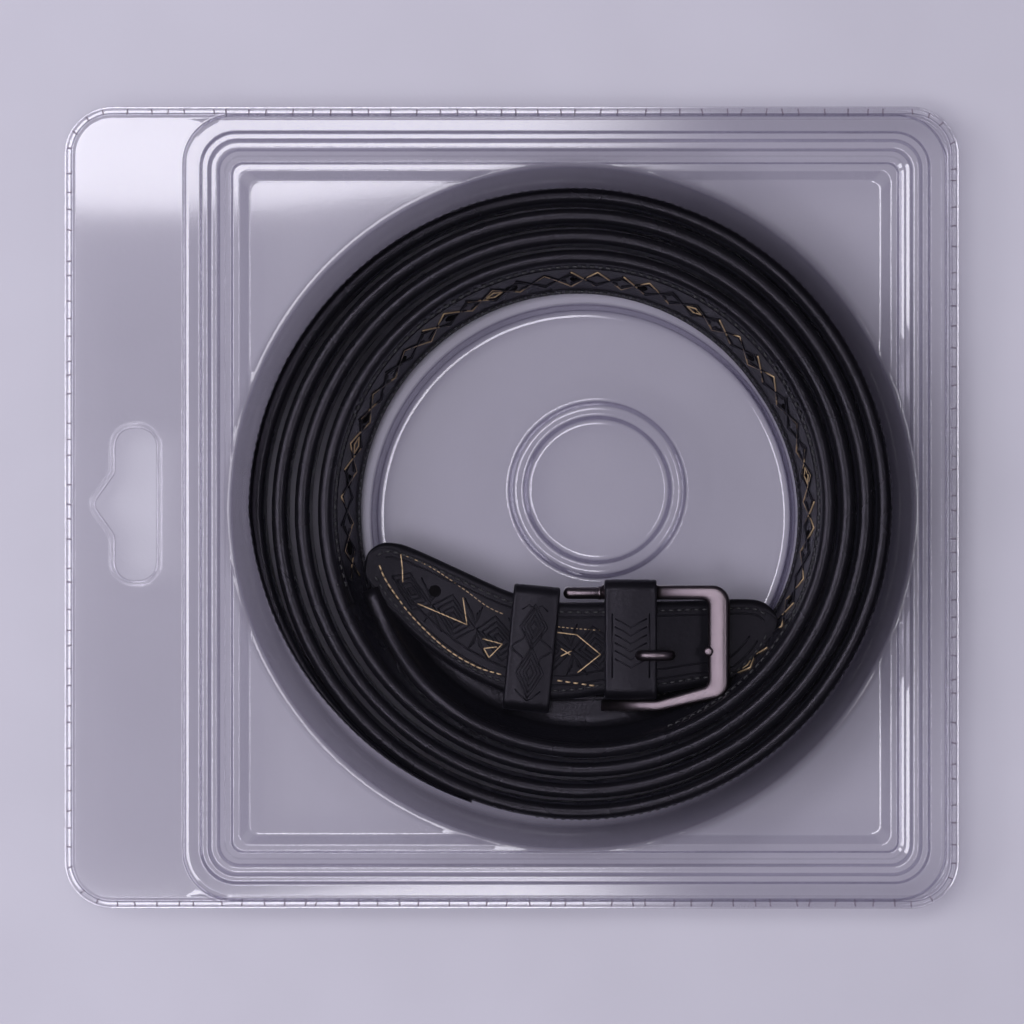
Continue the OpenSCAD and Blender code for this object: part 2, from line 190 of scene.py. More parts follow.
# Colour and metal shine of each thread
THREADS = {"dark_thread": ((0.022, 0.021, 0.027), 0.0), "gold_thread": ((0.74, 0.53, 0.32), 0.5)}


def finish(make):
    """Keeps one material for each finish and name, made when it is first asked for."""

    def asked(*args):
        key = (make.__name__, *args)
        if key not in FINISHES:
            FINISHES[key] = bpy.data.materials.new("_".join(str(k) for k in key if isinstance(k, str)))
            make(Tree(FINISHES[key]), *args)
        return FINISHES[key]

    return asked


def sheet_body(tree, shoulder):
    """What shows through a sheet, with painted shade over the dome's shoulder and a dark violet edge on, how
    edge on it is, and what share of its gloss the shoulder leaves.
    """
    look = bpy.context.scene.sheet_look
    facing = tree.add("ShaderNodeLayerWeight", sockets={"Blend": 0.5}, output="Facing")
    # Edge on, the sheet darkens to a violet that is partly its longer path and partly painted shade
    body = tree.blend(facing ** EDGE_ON, tree.clear(look.tint), tree.clear(look.edge_tint))
    if not shoulder:
        return facing, 1.0, body
    place = tree.add("ShaderNodeTexCoord", output="Object")
    flat = tree.add("ShaderNodeVectorMath", {"operation": "MULTIPLY"}, {0: place, 1: (1, 1, 0)})
    middle = (PAN[0] * MM, PAN[1] * MM, 0)
    out = tree.add("ShaderNodeVectorMath", {"operation": "DISTANCE"}, {0: flat, 1: middle}, "Value")
    rise, fall, roof = (tree.ramp(out, start * MM, stop * MM)
                        for start, stop in (SHADE_BAND_IN, SHADE_BAND_OUT, ROOF_EDGE))
    # The band over the dome's shoulder gets painted shade: a grey tint that darkens what shows through it,
    # standing for the shade between the coil and the dome's wall and for the dark leather that wall mirrors
    band = rise * fall
    body = tree.blend(band, body, tree.clear(look.shoulder_tint))
    return facing, (1.0 - ROOF_MATT * roof) * (1.0 - BAND_MATT * band), body


def sheet_gloss(tree, body, mirror):
    """A clear sheet's surface, which mirrors a share of the light and lets the rest through."""
    look = bpy.context.scene.sheet_look
    wave = tree.bump(tree.noise(11.0, 0.0), 1.0, look.waviness / MM)
    gloss = tree.body({
        "Base Color": solid((0.96, 0.95, 1.0)), "Metallic": 1.0, "Roughness": 0.05, "Normal": wave})
    tree.end(tree.blend(mirror, body, gloss))


@finish
def clear_sheet(tree, name, shoulder):
    """Upper face of a clear sheet, with its gloss."""
    gloss = bpy.context.scene.sheet_look.gloss
    facing, share, body = sheet_body(tree, shoulder)
    sheet_gloss(tree, body, (gloss + (1.0 - gloss) * facing ** 5.0) * share)


@finish
def sheet_under(tree, name):
    """Lower face of the back sheet, whose gloss shows only from outside the pack."""
    look = bpy.context.scene.sheet_look
    inward = tree.add("ShaderNodeNewGeometry", output="Backfacing")
    sheet_gloss(tree, tree.clear(look.tint), UNDER_GLOSS * look.gloss * (1.0 - inward))


@finish
def sheet_inside(tree, name):
    """Inner face of a clear sheet, which only lets light through."""
    tree.end(tree.clear(bpy.context.scene.sheet_look.tint))


@finish
def weld_mark(tree, name):
    """Melted sheet, cloudy and a little brown."""
    cloud = tree.noise(900.0, 2.0)
    cloudy = tree.body({
        "Base Color": tree.mix(cloud, solid((0.2, 0.15, 0.22)), solid((0.42, 0.36, 0.46))),
        "Roughness": 0.25})
    tree.end(tree.blend(0.55 + 0.3 * cloud, tree.clear((0.9, 0.88, 0.95)), cloudy))


@finish
def black_leather(tree, name):
    """Black leather with a fine grain and a faint violet sheen."""
    look = bpy.context.scene.leather_look
    grain, rough, shine = LEATHERS[name]
    grained = tree.cells(grain) * 0.6 + tree.noise(grain * 1.7, 1.5) * 0.6
    blotch = tree.noise(60.0, 1.0)
    worn = [min(1.0, c * 1.9) for c in look.color]
    tree.end(tree.body({
        "Base Color": tree.mix(blotch, solid(look.color), solid(worn)),
        "Roughness": rough + 0.12 * blotch,
        "Specular IOR Level": shine,
        "Specular Tint": solid((0.86, 0.8, 1.0)),
        "Sheen Weight": 0.03,
        "Sheen Roughness": 0.4,
        "Sheen Tint": solid((0.62, 0.6, 0.95)),
        "Normal": tree.bump(grained, look.grain_depth, 0.12),
    }))


@finish
def hole_dark(tree, name):
    """Painted shade of a hole that is not cut through: raw cut leather made near black, with no gloss."""
    fibre = tree.noise(1800.0, 3.0)
    tree.end(tree.body({
        "Base Color": tree.mix(fibre, solid((0.002, 0.002, 0.003)), solid((0.008, 0.007, 0.008))),
        "Roughness": 0.8,
        "Specular IOR Level": 0.0,
    }))


@finish
def thread(tree, name):
    """Twisted sewing thread."""
    color, shine = THREADS[name]
    twist = tree.noise(2600.0, 2.0)
    tree.end(tree.body({
        "Base Color": tree.mix(twist, solid([0.55 * c for c in color]), solid(color)),
        "Metallic": shine,
        "Roughness": 0.32 + 0.3 * twist,
        "Normal": tree.bump(twist, 0.5, 0.08),
    }))


@finish
def satin_metal(tree, name):
    """Satin nickel with fine brush lines and a warm tone."""
    look = bpy.context.scene.metal_look
    brushed = tree.noise(420.0, 3.0, (0.25, 3.0, 3.0))
    soft = tree.noise(90.0, 2.0)
    tree.end(tree.body({
        "Base Color": tree.mix(soft, solid(look.color), solid([0.82 * c for c in look.color])),
        "Metallic": 1.0,
        "Roughness": look.roughness - 0.06 + 0.16 * brushed,
        "Normal": tree.bump(brushed, 0.12, 0.05),
    }))


@finish
def paper_floor(tree, name):
    """Pale grey paper with a faint mottle."""
    color = bpy.context.scene.stage_look.floor_color
    mottle = tree.noise(26.0, 2.0)
    fibre = tree.noise(700.0, 1.0)
    tree.end(tree.body({
        "Base Color": tree.mix(mottle, solid([0.9 * c for c in color]), solid(color)),
        "Roughness": 0.85,
        "Specular IOR Level": 0.1,
        "Normal": tree.bump(fibre, 0.25, 0.1),
    }))


# Meshes

WELD_GAP = 0.002
CORNER_STEPS = 14
SIDE_STEPS = 44
# A rounded corner takes at most this share of each side, and its straight lead this share
MOST_CUT = 0.44
MOST_LEAD = 0.05
# Half angle in degrees from which a line counts as straight and keeps its corner
STRAIGHT = 89.5


class Skin:
    """A mesh gathered from rings and patches of points, in millimetres."""

    def __init__(self):
        self.points = []
        self.faces = []

    def ring(self, points):
        """Adds points and gives their numbers."""
        first = len(self.points)
        self.points.extend(tuple(float(v) for v in p) for p in points)
        return list(range(first, len(self.points)))

    def join(self, one, two, closed=True):
        """Faces between two rings of as many points."""
        count = len(one)
        for i in range(count if closed else count - 1):
            j = (i + 1) % count
            self.faces.append((one[i], one[j], two[j], two[i]))

    def strip(self, rings, closed=True):
        """Faces over a row of rings, each an array of points. Gives the first and last ring."""
        numbers = [self.ring(r) for r in rings]
        for one, two in zip(numbers, numbers[1:]):
            self.join(one, two, closed)
        return numbers[0], numbers[-1]

    def tube(self, rings):
        """A strip closed at both ends."""
        first, last = self.strip(rings)
        self.faces.append(tuple(reversed(first)))
        self.faces.append(tuple(last))

    def add(self, points, faces):
        """A patch of points and faces."""
        first = len(self.points)
        self.ring(points)
        self.faces.extend(tuple(first + i for i in f) for f in faces)

    def make(self, name, material, slot, stands_for=(), face_up=False):
        """The finished object, which rides on the pack."""
        mesh = bpy.data.meshes.new(name)
        made = bmesh.new()
        corners_made = [made.verts.new([v * MM for v in p]) for p in self.points]
        for face in self.faces:
            try:
                made.faces.new([corners_made[i] for i in face])
            except ValueError:
                continue
        bmesh.ops.remove_doubles(made, verts=made.verts, dist=WELD_GAP * MM)
        bmesh.ops.dissolve_degenerate(made, edges=made.edges, dist=WELD_GAP * MM)
        bmesh.ops.recalc_face_normals(made, faces=made.faces)
        if face_up and sum(f.normal.z * f.calc_area() for f in made.faces) < 0:
            bmesh.ops.reverse_faces(made, faces=made.faces)
        for face in made.faces:
            face.smooth = True
        made.to_mesh(mesh)
        made.free()
        mesh.materials.append(material)
        piece = bpy.data.objects.new(name, mesh)
        bpy.context.scene.collection.objects.link(piece)
        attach(piece, "root")
        if stands_for:
            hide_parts(*stands_for)
        return piece


def turn(degrees):
    """Cosine and sine of an angle."""
    return np.array([math.cos(math.radians(degrees)), math.sin(math.radians(degrees))])


def circle(sides):
    """Cosine and sine of so many angles round a circle."""
    return [turn(360 * k / sides) for k in range(sides)]


def round_corner(before, corner, after, radius, steps, flat):
    """An arc in place of a corner, with a short straight start and end."""
    one, two = before - corner, after - corner
    reach_one, reach_two = np.linalg.norm(one), np.linalg.norm(two)
    one, two = one / reach_one, two / reach_two
    half = math.acos(float(np.clip(one @ two, -1.0, 1.0))) / 2
    if radius <= 0 or half > math.radians(STRAIGHT):
        return [corner]
    cut = min(radius / math.tan(half), MOST_CUT * reach_one, MOST_CUT * reach_two)
    middle = corner + (one + two) / np.linalg.norm(one + two) * cut / math.cos(half)
    start, end = corner + one * cut - middle, corner + two * cut - middle
    sweep = math.pi - 2 * half
    side = 1 if start[0] * end[1] - start[1] * end[0] > 0 else -1
    points = []
    for i in range(steps + 1):
        c, s = math.cos(sweep * i / steps), side * math.sin(sweep * i / steps)
        points.append(middle + np.array([c * start[0] - s * start[1], s * start[0] + c * start[1]]))
    if flat:
        lead = min(flat, MOST_LEAD * reach_one, MOST_LEAD * reach_two)
        points = [points[0] + one * lead, *points, points[-1] + two * lead]
    return points


def section(line, steps=5, flat=0.12):
    """A section line from corners [along, height, radius], with each corner rounded."""
    spots = [np.array(p[:2], float) for p in line]
    made = [spots[0]]
    for k in range(1, len(line) - 1):
        made += round_corner(spots[k - 1], spots[k], spots[k + 1], line[k][2], steps, flat)
    return np.array(made + [spots[-1]])


def rounded_loop(corner_list, steps=8):
    """A closed outline from corners [x, y, radius], with each corner rounded."""
    spots = [np.array(p[:2], float) for p in corner_list]
    made = []
    for k, (_, _, radius) in enumerate(corner_list):
        made += round_corner(spots[k - 1], spots[k], spots[(k + 1) % len(spots)], radius, steps, 0)
    return np.array(made)


def grown(loop, gap):
    """A closed outline that runs counter-clockwise, moved outwards by a gap."""
    along = np.roll(loop, -1, 0) - np.roll(loop, 1, 0)
    out = np.stack([along[:, 1], -along[:, 0]], 1)
    return loop + gap * out / np.linalg.norm(out, axis=1)[:, None]


def outline(x0, x1, half_y, radius):
    """A rounded rectangle with the same count of points at any size, counter-clockwise."""
    middles = [(x1 - radius, half_y - radius), (x0 + radius, half_y - radius),
               (x0 + radius, radius - half_y), (x1 - radius, radius - half_y)]
    points = []
    for k, middle in enumerate(middles):
        arc = [middle + radius * turn(90 * k + a) for a in np.linspace(0, 90, CORNER_STEPS + 1)]
        onward = np.array(middles[(k + 1) % 4]) + radius * turn(90 * (k + 1))
        side = [arc[-1] + (onward - arc[-1]) * t for t in np.linspace(0, 1, SIDE_STEPS + 1)[1:-1]]
        points += arc + side
    return np.array(points)


def raised(plan, height):
    """Plan points at a height, or at one height each."""
    return np.column_stack([plan, np.broadcast_to(height, len(plan))])


def rays(middle, way, line):
    """Rings round a middle, one at each radius and height of a line."""
    return [raised(middle + way * r, z) for r, z in line]


def unit(rows):
    """Each row of an array, made one long."""
    return rows / np.linalg.norm(rows, axis=1)[:, None]


def run_along(path):
    """Distance along a path at each of its points."""
    return np.concatenate([[0], np.cumsum(np.linalg.norm(np.diff(path, axis=0), axis=1))])


def within(point, loop):
    """Whether a plan point lies inside a closed outline."""
    x, y = point
    ahead = np.roll(loop, -1, 0)
    crosses = (loop[:, 1] > y) != (ahead[:, 1] > y)
    rise = np.where(crosses, ahead[:, 1] - loop[:, 1], 1.0)
    at = loop[:, 0] + (y - loop[:, 1]) / rise * (ahead[:, 0] - loop[:, 0])
    return bool(np.sum(crosses & (x < at)) % 2)


def flat_patch(skin, outer, holes, height):
    """A flat face between an outline and the holes in it."""
    loops = [outer, *holes]
    spots = [Vector(p) for loop in loops for p in loop]
    edges, first = [], 0
    for loop in loops:
        edges += [(first + i, first + (i + 1) % len(loop)) for i in range(len(loop))]
        first += len(loop)
    points, _, faces, *_ = delaunay_2d_cdt(spots, edges, [], 0, 1e-6)
    points = np.array([tuple(p) for p in points])
    kept = []
    for face in faces:
        middle = points[list(face)].mean(0)
        if within(middle, outer) and not any(within(middle, h) for h in holes):
            kept.append(face)
    skin.add(raised(points, height), kept)


# Clear sheets

BODY_X = (-82.2, 108.8)
BODY_Y = 98.3
BODY_CORNER = 12.5
CORNER_SHRINK = 0.78
CORNER_LEAST = 2.6
# The body's section starts this far outside its outline
BODY_START = -0.9
FLANGE_CORNER = 12.0
WELD_Z = 9.0
WELD_INSET = 1.25
SHEET_T = 0.6
SHEET_GAP = 0.05
PAN = np.array([15.0, 0.0])
DOME_R = 84.6
ROOF_Z = 29.5
DRAFT = 0.14
PEDESTAL = np.array([18.0, -2.2])
PEDESTAL_R = 53.4
BUTTON = np.array([21.4, 4.4])
SLOT = np.array([SHELL_LOW[0] + 17.9, 0.8])
SEAM_FLAT = 3.2
COIL_EDGE = 79.3
# Radii between which the shoulder's band of painted shade and the roof's weaker gloss fade in
SHADE_BAND_IN = (COIL_EDGE - 2.5, COIL_EDGE)
SHADE_BAND_OUT = (DOME_R + 3.2, DOME_R - 1.2)
ROOF_EDGE = (DOME_R + 1.0, DOME_R - 1.0)
# How far out and how high each ring of the fillet at the dome's foot is
DOME_FILLET = ((1.3, 0.0), (0.85, 0.08), (0.5, 0.27), (0.2, 0.65), (0.03, 1.3))
# Radius and drop of the roof, which sags towards its middle
SAG = ((73.0, 0.42), (68.0, 0.75), (62.0, 1.05), (52.0, 1.35), (38.0, 1.55), (20.0, 1.7), (6.0, 1.72))


def slot_outline():
    """The hang slot with its hook notch towards the tab's edge."""
    half_w, half_l, mouth, reach = 5.1, 19.0, 7.7, 10.6
    corner_list = [(half_w, -half_l, half_w), (half_w, half_l, half_w), (-half_w, half_l, half_w),
                   (-half_w, mouth, 3.0), (-reach, 0.0, 2.4), (-half_w, -mouth, 3.0),
                   (-half_w, -half_l, half_w)]
    return rounded_loop(corner_list) + SLOT


def flange_ring(inset):
    """The flange's outline, moved inwards."""
    return outline(SHELL_LOW[0] + inset, SHELL_HIGH[0] - inset, SHELL_HIGH[1] - inset,
                   max(FLANGE_CORNER - inset, 1.0))


def body_ring(inset):
    """The body's outline, moved inwards. Its corners tighten more slowly than they move."""
    return outline(BODY_X[0] + inset, BODY_X[1] - inset, BODY_Y - inset,
                   max(BODY_CORNER - CORNER_SHRINK * inset, CORNER_LEAST))


def flange(skin, height, seam):
    """Flange and hang tab, from the seam along its edge to the body and round the slot."""
    skin.strip([raised(flange_ring(d), height + z) for d, z in section(seam, 3, 0.04)])
    hole = slot_outline()
    lip = section([[0, 0, 0], [0.15, 0.3, 0.1], [0.5, 0.3, 0.15], [0.75, 0.02, 0.1], [1.0, 0.02, 0.1],
                   [1.25, 0.22, 0.15], [1.6, 0, 0.2], [2.2, 0, 0]], 3, 0.04)
    skin.strip([raised(grown(hole, g), height + z) for g, z in lip])
    flat_patch(skin, flange_ring(seam[-1][0]), [body_ring(BODY_START), grown(hole, lip[-1][0])], height)


def sheet(skin, name, slot, node, materials):
    """Turns a skin into a sheet of even thickness under its upper face."""
    piece = skin.make(name, materials[0], slot, (node,), True)
    for material in materials[1:]:
        piece.data.materials.append(material)
    solid_sheet = piece.modifiers.new("thickness", "SOLIDIFY")
    solid_sheet.thickness = (SHEET_T - SHEET_GAP) * MM
    solid_sheet.offset = -1
    solid_sheet.use_even_offset = False
    solid_sheet.material_offset = 1
    solid_sheet.material_offset_rim = 0
    evened = piece.modifiers.new("even_shading", "WEIGHTED_NORMAL")
    evened.weight = 80
    return piece


def front_frame():
    """Section of the stepped frame, inwards from the body's outline."""
    foot = WELD_Z + SHEET_T
    step1, mid, step2, bead, panel = 14.0, 15.8, 17.6, 16.2, 13.6
    return section([
        [BODY_START, foot, 0], [0, foot, 0.25], [0.85, step1 - 0.2, 0.6], [1.75, step1, 0.3],
        [4.45, step1, 0.35], [5.25, mid, 0.35], [6.5, mid, 0.3], [7.6, step2, 0.45], [8.95, step2, 0.5],
        [9.7, 15.9, 0.35], [10.6, 15.45, 0.35], [11.1, 15.0, 0.15], [12.3, 14.5, 0.12], [12.9, bead, 0.25],
        [14.5, bead, 0.6], [16.8, panel, 0.9], [17.8, panel, 0]], 4, 0.08)


def cut_at_circle(rings, middle, radius):
    """Stops each line across a row of rings where it enters a circle."""
    made = [np.array(r) for r in rings]
    count = len(made[0])
    for i in range(count):
        for k in range(1, len(made)):
            one, two = made[k - 1][i], made[k][i]
            near, far = np.linalg.norm(two[:2] - middle), np.linalg.norm(one[:2] - middle)
            if near < radius:
                low, high = 0.0, 1.0
                for _ in range(20):
                    t = (low + high) / 2
                    inside = np.linalg.norm((one + t * (two - one))[:2] - middle) < radius
                    low, high = (low, t) if inside else (t, high)
                stop = one + high * (two - one) if far >= radius else one
                for later in made[k:]:
                    later[i] = stop
                break
    return made


def front_sheet():
    """Front half: flange, stepped frame, recessed panel and round dome in one sheet."""
    skin = Skin()
    seam = [[0, 0, 0], [0.06, 0.5, 0.12], [0.45, 0.55, 0.2], [0.95, 0.02, 0.15], [1.6, 0.05, 0.15],
            [1.95, 0.62, 0.2], [2.15, 0.62, 0.25], [2.7, 0, 0.3], [SEAM_FLAT, 0, 0]]
    flange(skin, WELD_Z + SHEET_T, seam)
    cut = DOME_R + DOME_FILLET[0][0]
    frame_rings = [raised(body_ring(d), z) for d, z in front_frame()]
    frame_rings = cut_at_circle(frame_rings, PAN, cut)
    foot = frame_rings[-1]
    way = unit(foot[:, :2] - PAN)
    base = foot[:, 2]
    top_r = DOME_R - (ROOF_Z - base.min()) * DRAFT
    reached = np.linalg.norm(foot[:, :2] - PAN, axis=1) > cut + 0.4
    lead = np.where(reached[:, None], raised(PAN + way * (cut + 0.35), base), foot)
    fillet = [(DOME_R + out, base + up) for out, up in DOME_FILLET]
    shoulder = section([[DOME_R - (18.5 - base.min()) * DRAFT, 18.5, 0], [top_r, ROOF_Z, 2.2],
                        [top_r - 5, ROOF_Z - 0.15, 0]], 9)
    roof = [(r, ROOF_Z - drop) for r, drop in SAG]
    dome = rays(PAN, way, [*fillet, *shoulder, *roof])
    _, last = skin.strip([*frame_rings, lead, *dome])
    skin.faces.append(tuple(last))
    materials = clear_sheet("front_sheet_clear", True), sheet_inside("sheet_inside")
    return sheet(skin, "front_sheet_clear", "front_sheet", "front_shell", materials)


def back_sheet():
    """Back half: flange, tray, round pedestal and stepped button in one sheet."""
    skin = Skin()
    floor_z, ped_z, button_z = SHEET_T, 10.0, 19.0
    ped_r, ped_top, button_r = PEDESTAL_R, 51.33, 22.2
    flange(skin, WELD_Z, [[0, 0, 0], [1.0, 0, 0], [SEAM_FLAT, 0, 0]])
    tray = section([[BODY_START, WELD_Z, 0], [0.1, WELD_Z, 0.6], [1.26, floor_z, 1.4], [4.5, floor_z, 0]])
    rings = [raised(body_ring(d), z) for d, z in tray]
    way = unit(rings[-1][:, :2] - PEDESTAL)
    rise = section([[ped_r + 3, floor_z, 0], [ped_r, floor_z, 1.0], [ped_top, ped_z, 1.8],
                    [ped_top - 6, ped_z, 0]], 7)
    rings += rays(PEDESTAL, way, rise)
    mid = 15.4
    steps = section([[button_r + 2.5, ped_z, 0], [button_r, ped_z, 0.8], [button_r - 1.26, mid, 1.1],
                     [button_r - 3.66, mid, 0.7], [button_r - 4.92, button_z, 1.3], [9, button_z, 0]], 7)
    rings += rays(BUTTON, way, steps)
    _, last = skin.strip(rings)
    skin.faces.append(tuple(last))
    under = sheet_under("back_sheet_under")
    materials = clear_sheet("back_sheet_clear", False), under, sheet_inside("sheet_inside"), under
    piece = sheet(skin, "back_sheet_clear", "back_sheet", "back_shell", materials)
    # Away from the pedestal the sheet only lets light through
    for face in piece.data.polygons:
        middle = np.array(face.center[:2]) / MM
        if np.linalg.norm(middle - PEDESTAL) > ped_r + 0.5:
            face.material_index = 2
    return piece


def weld_marks():
    """Short ladder marks that the weld leaves across the seam."""
    skin = Skin()
    path = flange_ring(WELD_INSET)
    steps = np.linalg.norm(np.roll(path, -1, 0) - path, axis=1)
    length = np.concatenate([[0], np.cumsum(steps)])
    closed = np.vstack([path, path[:1]])
    spacing = 5.1
    count = int(length[-1] / spacing)
    shift = np.random.default_rng(7).uniform(-0.28, 0.28, (count, 2))
    for k in range(count):
        at = (k + 0.5 + shift[k, 0]) * length[-1] / count
        i = int(np.searchsorted(length, at, "right")) - 1
        part = (at - length[i]) / steps[i % len(steps)]
        spot = closed[i] + part * (closed[i + 1] - closed[i])
        along = (closed[i + 1] - closed[i]) / steps[i % len(steps)]
        across = np.array([along[1], -along[0]]) + along * shift[k, 1]
        z = WELD_Z + SHEET_T
        rings = []
        for t, h in ((-0.7, 0.1), (-0.5, 0.28), (0.5, 0.28), (0.7, 0.1)):
            rim = [(-0.2, 0.0), (-0.14, h), (0.14, h), (0.2, 0.0)]
            rings.append([(*(spot + across * t + along * w), z + 0.03 + up) for w, up in rim])
        skin.tube(rings)
    return skin.make("weld_ladder_marks", weld_mark("weld_mark"), "front_sheet")


# Belt

STRAP_W = 24.0
STRAP_T = 3.7
HALF_T = STRAP_T / 2
COIL_MIDDLE = PAN + np.array([1.2, -1.2])
COIL_R = 79.5
COIL_END = 70.0
# The outer end is thinned to this share of the strap and tucked in, over so many degrees
END_THIN = 0.06
THIN_CURVE = 0.8
TUCK = 1.4
TUCK_START = 40.0
TWIST_START = 1275.0
TWIST_FULL = 1350.0
DIVE_START = 1380.0
# The innermost stretch dives under the flat end: how far in and down, and what share of its height it loses
DIVE_IN = 2.0
DIVE_DOWN = 10.2
DIVE_SQUASH = 0.55
RIDGE_OUT = 0.5
RIDGE_UP = 0.6
CURL_LEAN = 20.0
CURL_FLAT = 86.0
CURL_AT = 11.0
CURL_BEND = 4.5
# How far the coil's middle moves and its radius shrinks at each quarter turn, and which way it moves
FALLS = (1.0, 1.35, 1.55, 1.25)
FALL_WAYS = ((-1, 0), (0, 1), (1, 0), (0, -1))
COIL_QUARTERS = 16
# Angles turned where the lean starts, where the ornament stops and where the coil ends
LEAN_START = 990.0
FACE_END = 1330.0
COIL_LAST = 1420.0
LEAN_MOST = 19.0
FOOT_GAP = 0.4
WAVE_START = 1064.0
WAVE = 13.0
SEAM_H = 8.6
WAVES = int((FACE_END - WAVE_START) / WAVE)
HALF_WEB = STRAP_W / 2 - HALF_T
TRAY_Z = 0.6


def coil_arc(quarter):
    """Middle and radius of a quarter arc of the coil, counted inwards."""
    middle, radius = COIL_MIDDLE.copy(), COIL_R
    for k in range(quarter):
        middle = middle + FALLS[k % 4] * np.array(FALL_WAYS[k % 4])
        radius -= FALLS[k % 4]
    return middle, radius


def coil_frame(turned):
    """Middle and radius of the coil at an angle inwards from the left, the way outwards and the lean."""
    quarter = int(min(COIL_QUARTERS, max(0, math.floor(turned / 90) + 1)))
    middle, radius = coil_arc(quarter)
    out = turn(180 - turned)
    if turned <= LEAN_START:
        return middle, radius, out, 0.0
    way = middle - PEDESTAL
    along = way @ out
    to_foot = -along + math.sqrt(along ** 2 - way @ way + PEDESTAL_R ** 2)
    room = radius - HALF_T - FOOT_GAP - to_foot
    most = math.degrees(math.asin(max(0.0, min(1.0, room / (2 * HALF_WEB)))))
    lean = min(LEAN_MOST, most) * eased(turned, LEAN_START, LEAN_START + 90)
    return middle, radius, out, math.radians(lean)


def eased(value, start, stop):
    """0 before the start, 1 past the stop, and a smooth rise between them."""
    t = min(1.0, max(0.0, (value - start) / (stop - start)))
    return t * t * (3 - 2 * t)


def curl_lean(down):
    """Lean of the twisted stretch in degrees, so far down from its upper edge."""
    return CURL_LEAN + (CURL_FLAT - CURL_LEAN) * eased(down, CURL_AT, CURL_AT + CURL_BEND)


CURL = np.cumsum([turn(curl_lean(d)) for d in range(int(STRAP_W))], axis=0)


def curled_point(middle, radius, out, turned, outwards, height):
    """A place on the last stretch, whose foot swings in under the flat end."""
    top = STRAP_W / 2
    down = top - height
    drop, reach = (np.interp(down, np.arange(len(CURL) + 1), [0, *CURL[:, k]]) for k in (0, 1))
    lean = math.radians(curl_lean(down))
    dive = eased(turned, DIVE_START, COIL_LAST)
    tilt = math.sin(math.radians(LEAN_MOST))
    ridge_r = radius - HALF_WEB * tilt + RIDGE_OUT - DIVE_IN * dive
    reach = ridge_r + top * tilt - reach + outwards * math.cos(lean)
    ridge_z = TRAY_Z + STRAP_W + RIDGE_UP - DIVE_DOWN * dive
    up = ridge_z - drop * (1 - DIVE_SQUASH * dive) - outwards * math.sin(lean)
    return np.array([*(middle + reach * out), up])


def coil_point(turned, outwards, height):
    """A place on the coiled strap: so far out from its middle layer, so high above its middle."""
    middle, radius, out, lean = coil_frame(turned)
    if turned < 0:
        skived = 1 - (1 - END_THIN) * min(1.0, -turned / COIL_END) ** THIN_CURVE
        tucked = TUCK * min(1.0, -turned / TUCK_START)
        outwards = (outwards + HALF_T) * skived - HALF_T - tucked
    c, s = math.cos(lean), math.sin(lean)
    reach = radius - HALF_WEB * s + outwards * c + height * s
    up = TRAY_Z + HALF_T + HALF_WEB * c - outwards * s + height * c
    upright = np.array([*(middle + reach * out), up])
    share = eased(turned, TWIST_START, TWIST_FULL)
    if share == 0:
        return upright
    curled = curled_point(middle, radius, out, turned, outwards, height)
    return upright + share * (curled - upright)


def strap_rim():
    """A quarter of the strap's section: a domed painted edge, with a crease where the paint ends."""
    return [(out, STRAP_W / 2 - down) for out, down in (
        (0.0, 0), (0.55, 0.06), (1.0, 0.25), (1.35, 0.55), (1.62, 0.95), (1.78, 1.4), (1.85, 1.9),
        (1.82, 2.1), (1.74, 2.3), (1.80, 2.5), (1.85, 2.8))]


def strap_section():
    """The whole section, as [outwards, height] pairs in one loop."""
    rim = strap_rim()
    lower = [(x, -y) for x, y in reversed(rim)]
    right = rim + [(HALF_T, h) for h in (7.0, 4.5, 2.0, -0.5, -3.0, -5.5, -8.0)] + lower
    left = [(-x, y) for x, y in reversed(right[1:-1])]
    return right + left


def coil_strap():
    """The coil, from its outer end to its inner end."""
    skin = Skin()
    loop = strap_section()
    turns = np.arange(-COIL_END, COIL_LAST + 0.1, 2.5)
    skin.tube([[coil_point(t, x, y) for x, y in loop] for t in turns])
    return skin.make("strap_coil", black_leather("strap_edge_leather"), "strap_leather",
                     ("belt_strap",))


def rod(skin, path, radius, up=(0, 0, 1), squash=1.0, sides=6):
    """A round or flattened rod along a path."""
    path = np.array(path, float)
    around = circle(sides)
    rings = []
    for spot, way in zip(path, np.gradient(path, axis=0)):
        way = way / np.linalg.norm(way)
        side = np.cross(way, up)
        side = side / np.linalg.norm(side)
        over = np.cross(side, way)
        rings.append([spot + radius * (c * side + s * squash * over) for c, s in around])
    skin.tube(rings)


def stitches(skin, place, start, stop, pitch, radius, fill=0.62, bury=0.0):
    """A row of stitches. place gives the point and the way up at a distance along the row."""
    count = int((stop - start) / pitch)
    for k in range(count):
        at = start + (k + 0.5) * pitch
        spots = []
        for t in (-0.5, -0.3, 0.0, 0.3, 0.5):
            spot, up = place(at + t * fill * pitch)
            lift = radius * (0.9 - 1.7 * (2 * abs(t)) ** 3) - bury
            spots.append(spot + np.array(up) * lift)
        rod(skin, spots, radius, up, 0.8)


def coil_side(face, height):
    """Place finder for a row along the coil's inner (-1) or outer (1) face, by the angle turned."""

    def place(turned):
        spot = coil_point(turned, face * HALF_T, height)
        beyond = coil_point(turned, face * (HALF_T + 1), height)
        return spot, beyond - spot

    return place


def coil_stitches():
    """Dark stitch rows on the faces of the coil that show."""
    skin = Skin()
    pitch = 2.0
    for height in (SEAM_H, -SEAM_H):
        stitches(skin, coil_side(-1, height), WAVE_START - 2, FACE_END, pitch, 0.3)
        stitches(skin, coil_side(1, height), -COIL_END + 3, 280.0, pitch * 0.8, 0.15)
    return skin.make("coil_stitch_rows", thread("dark_thread"), "strap_leather")


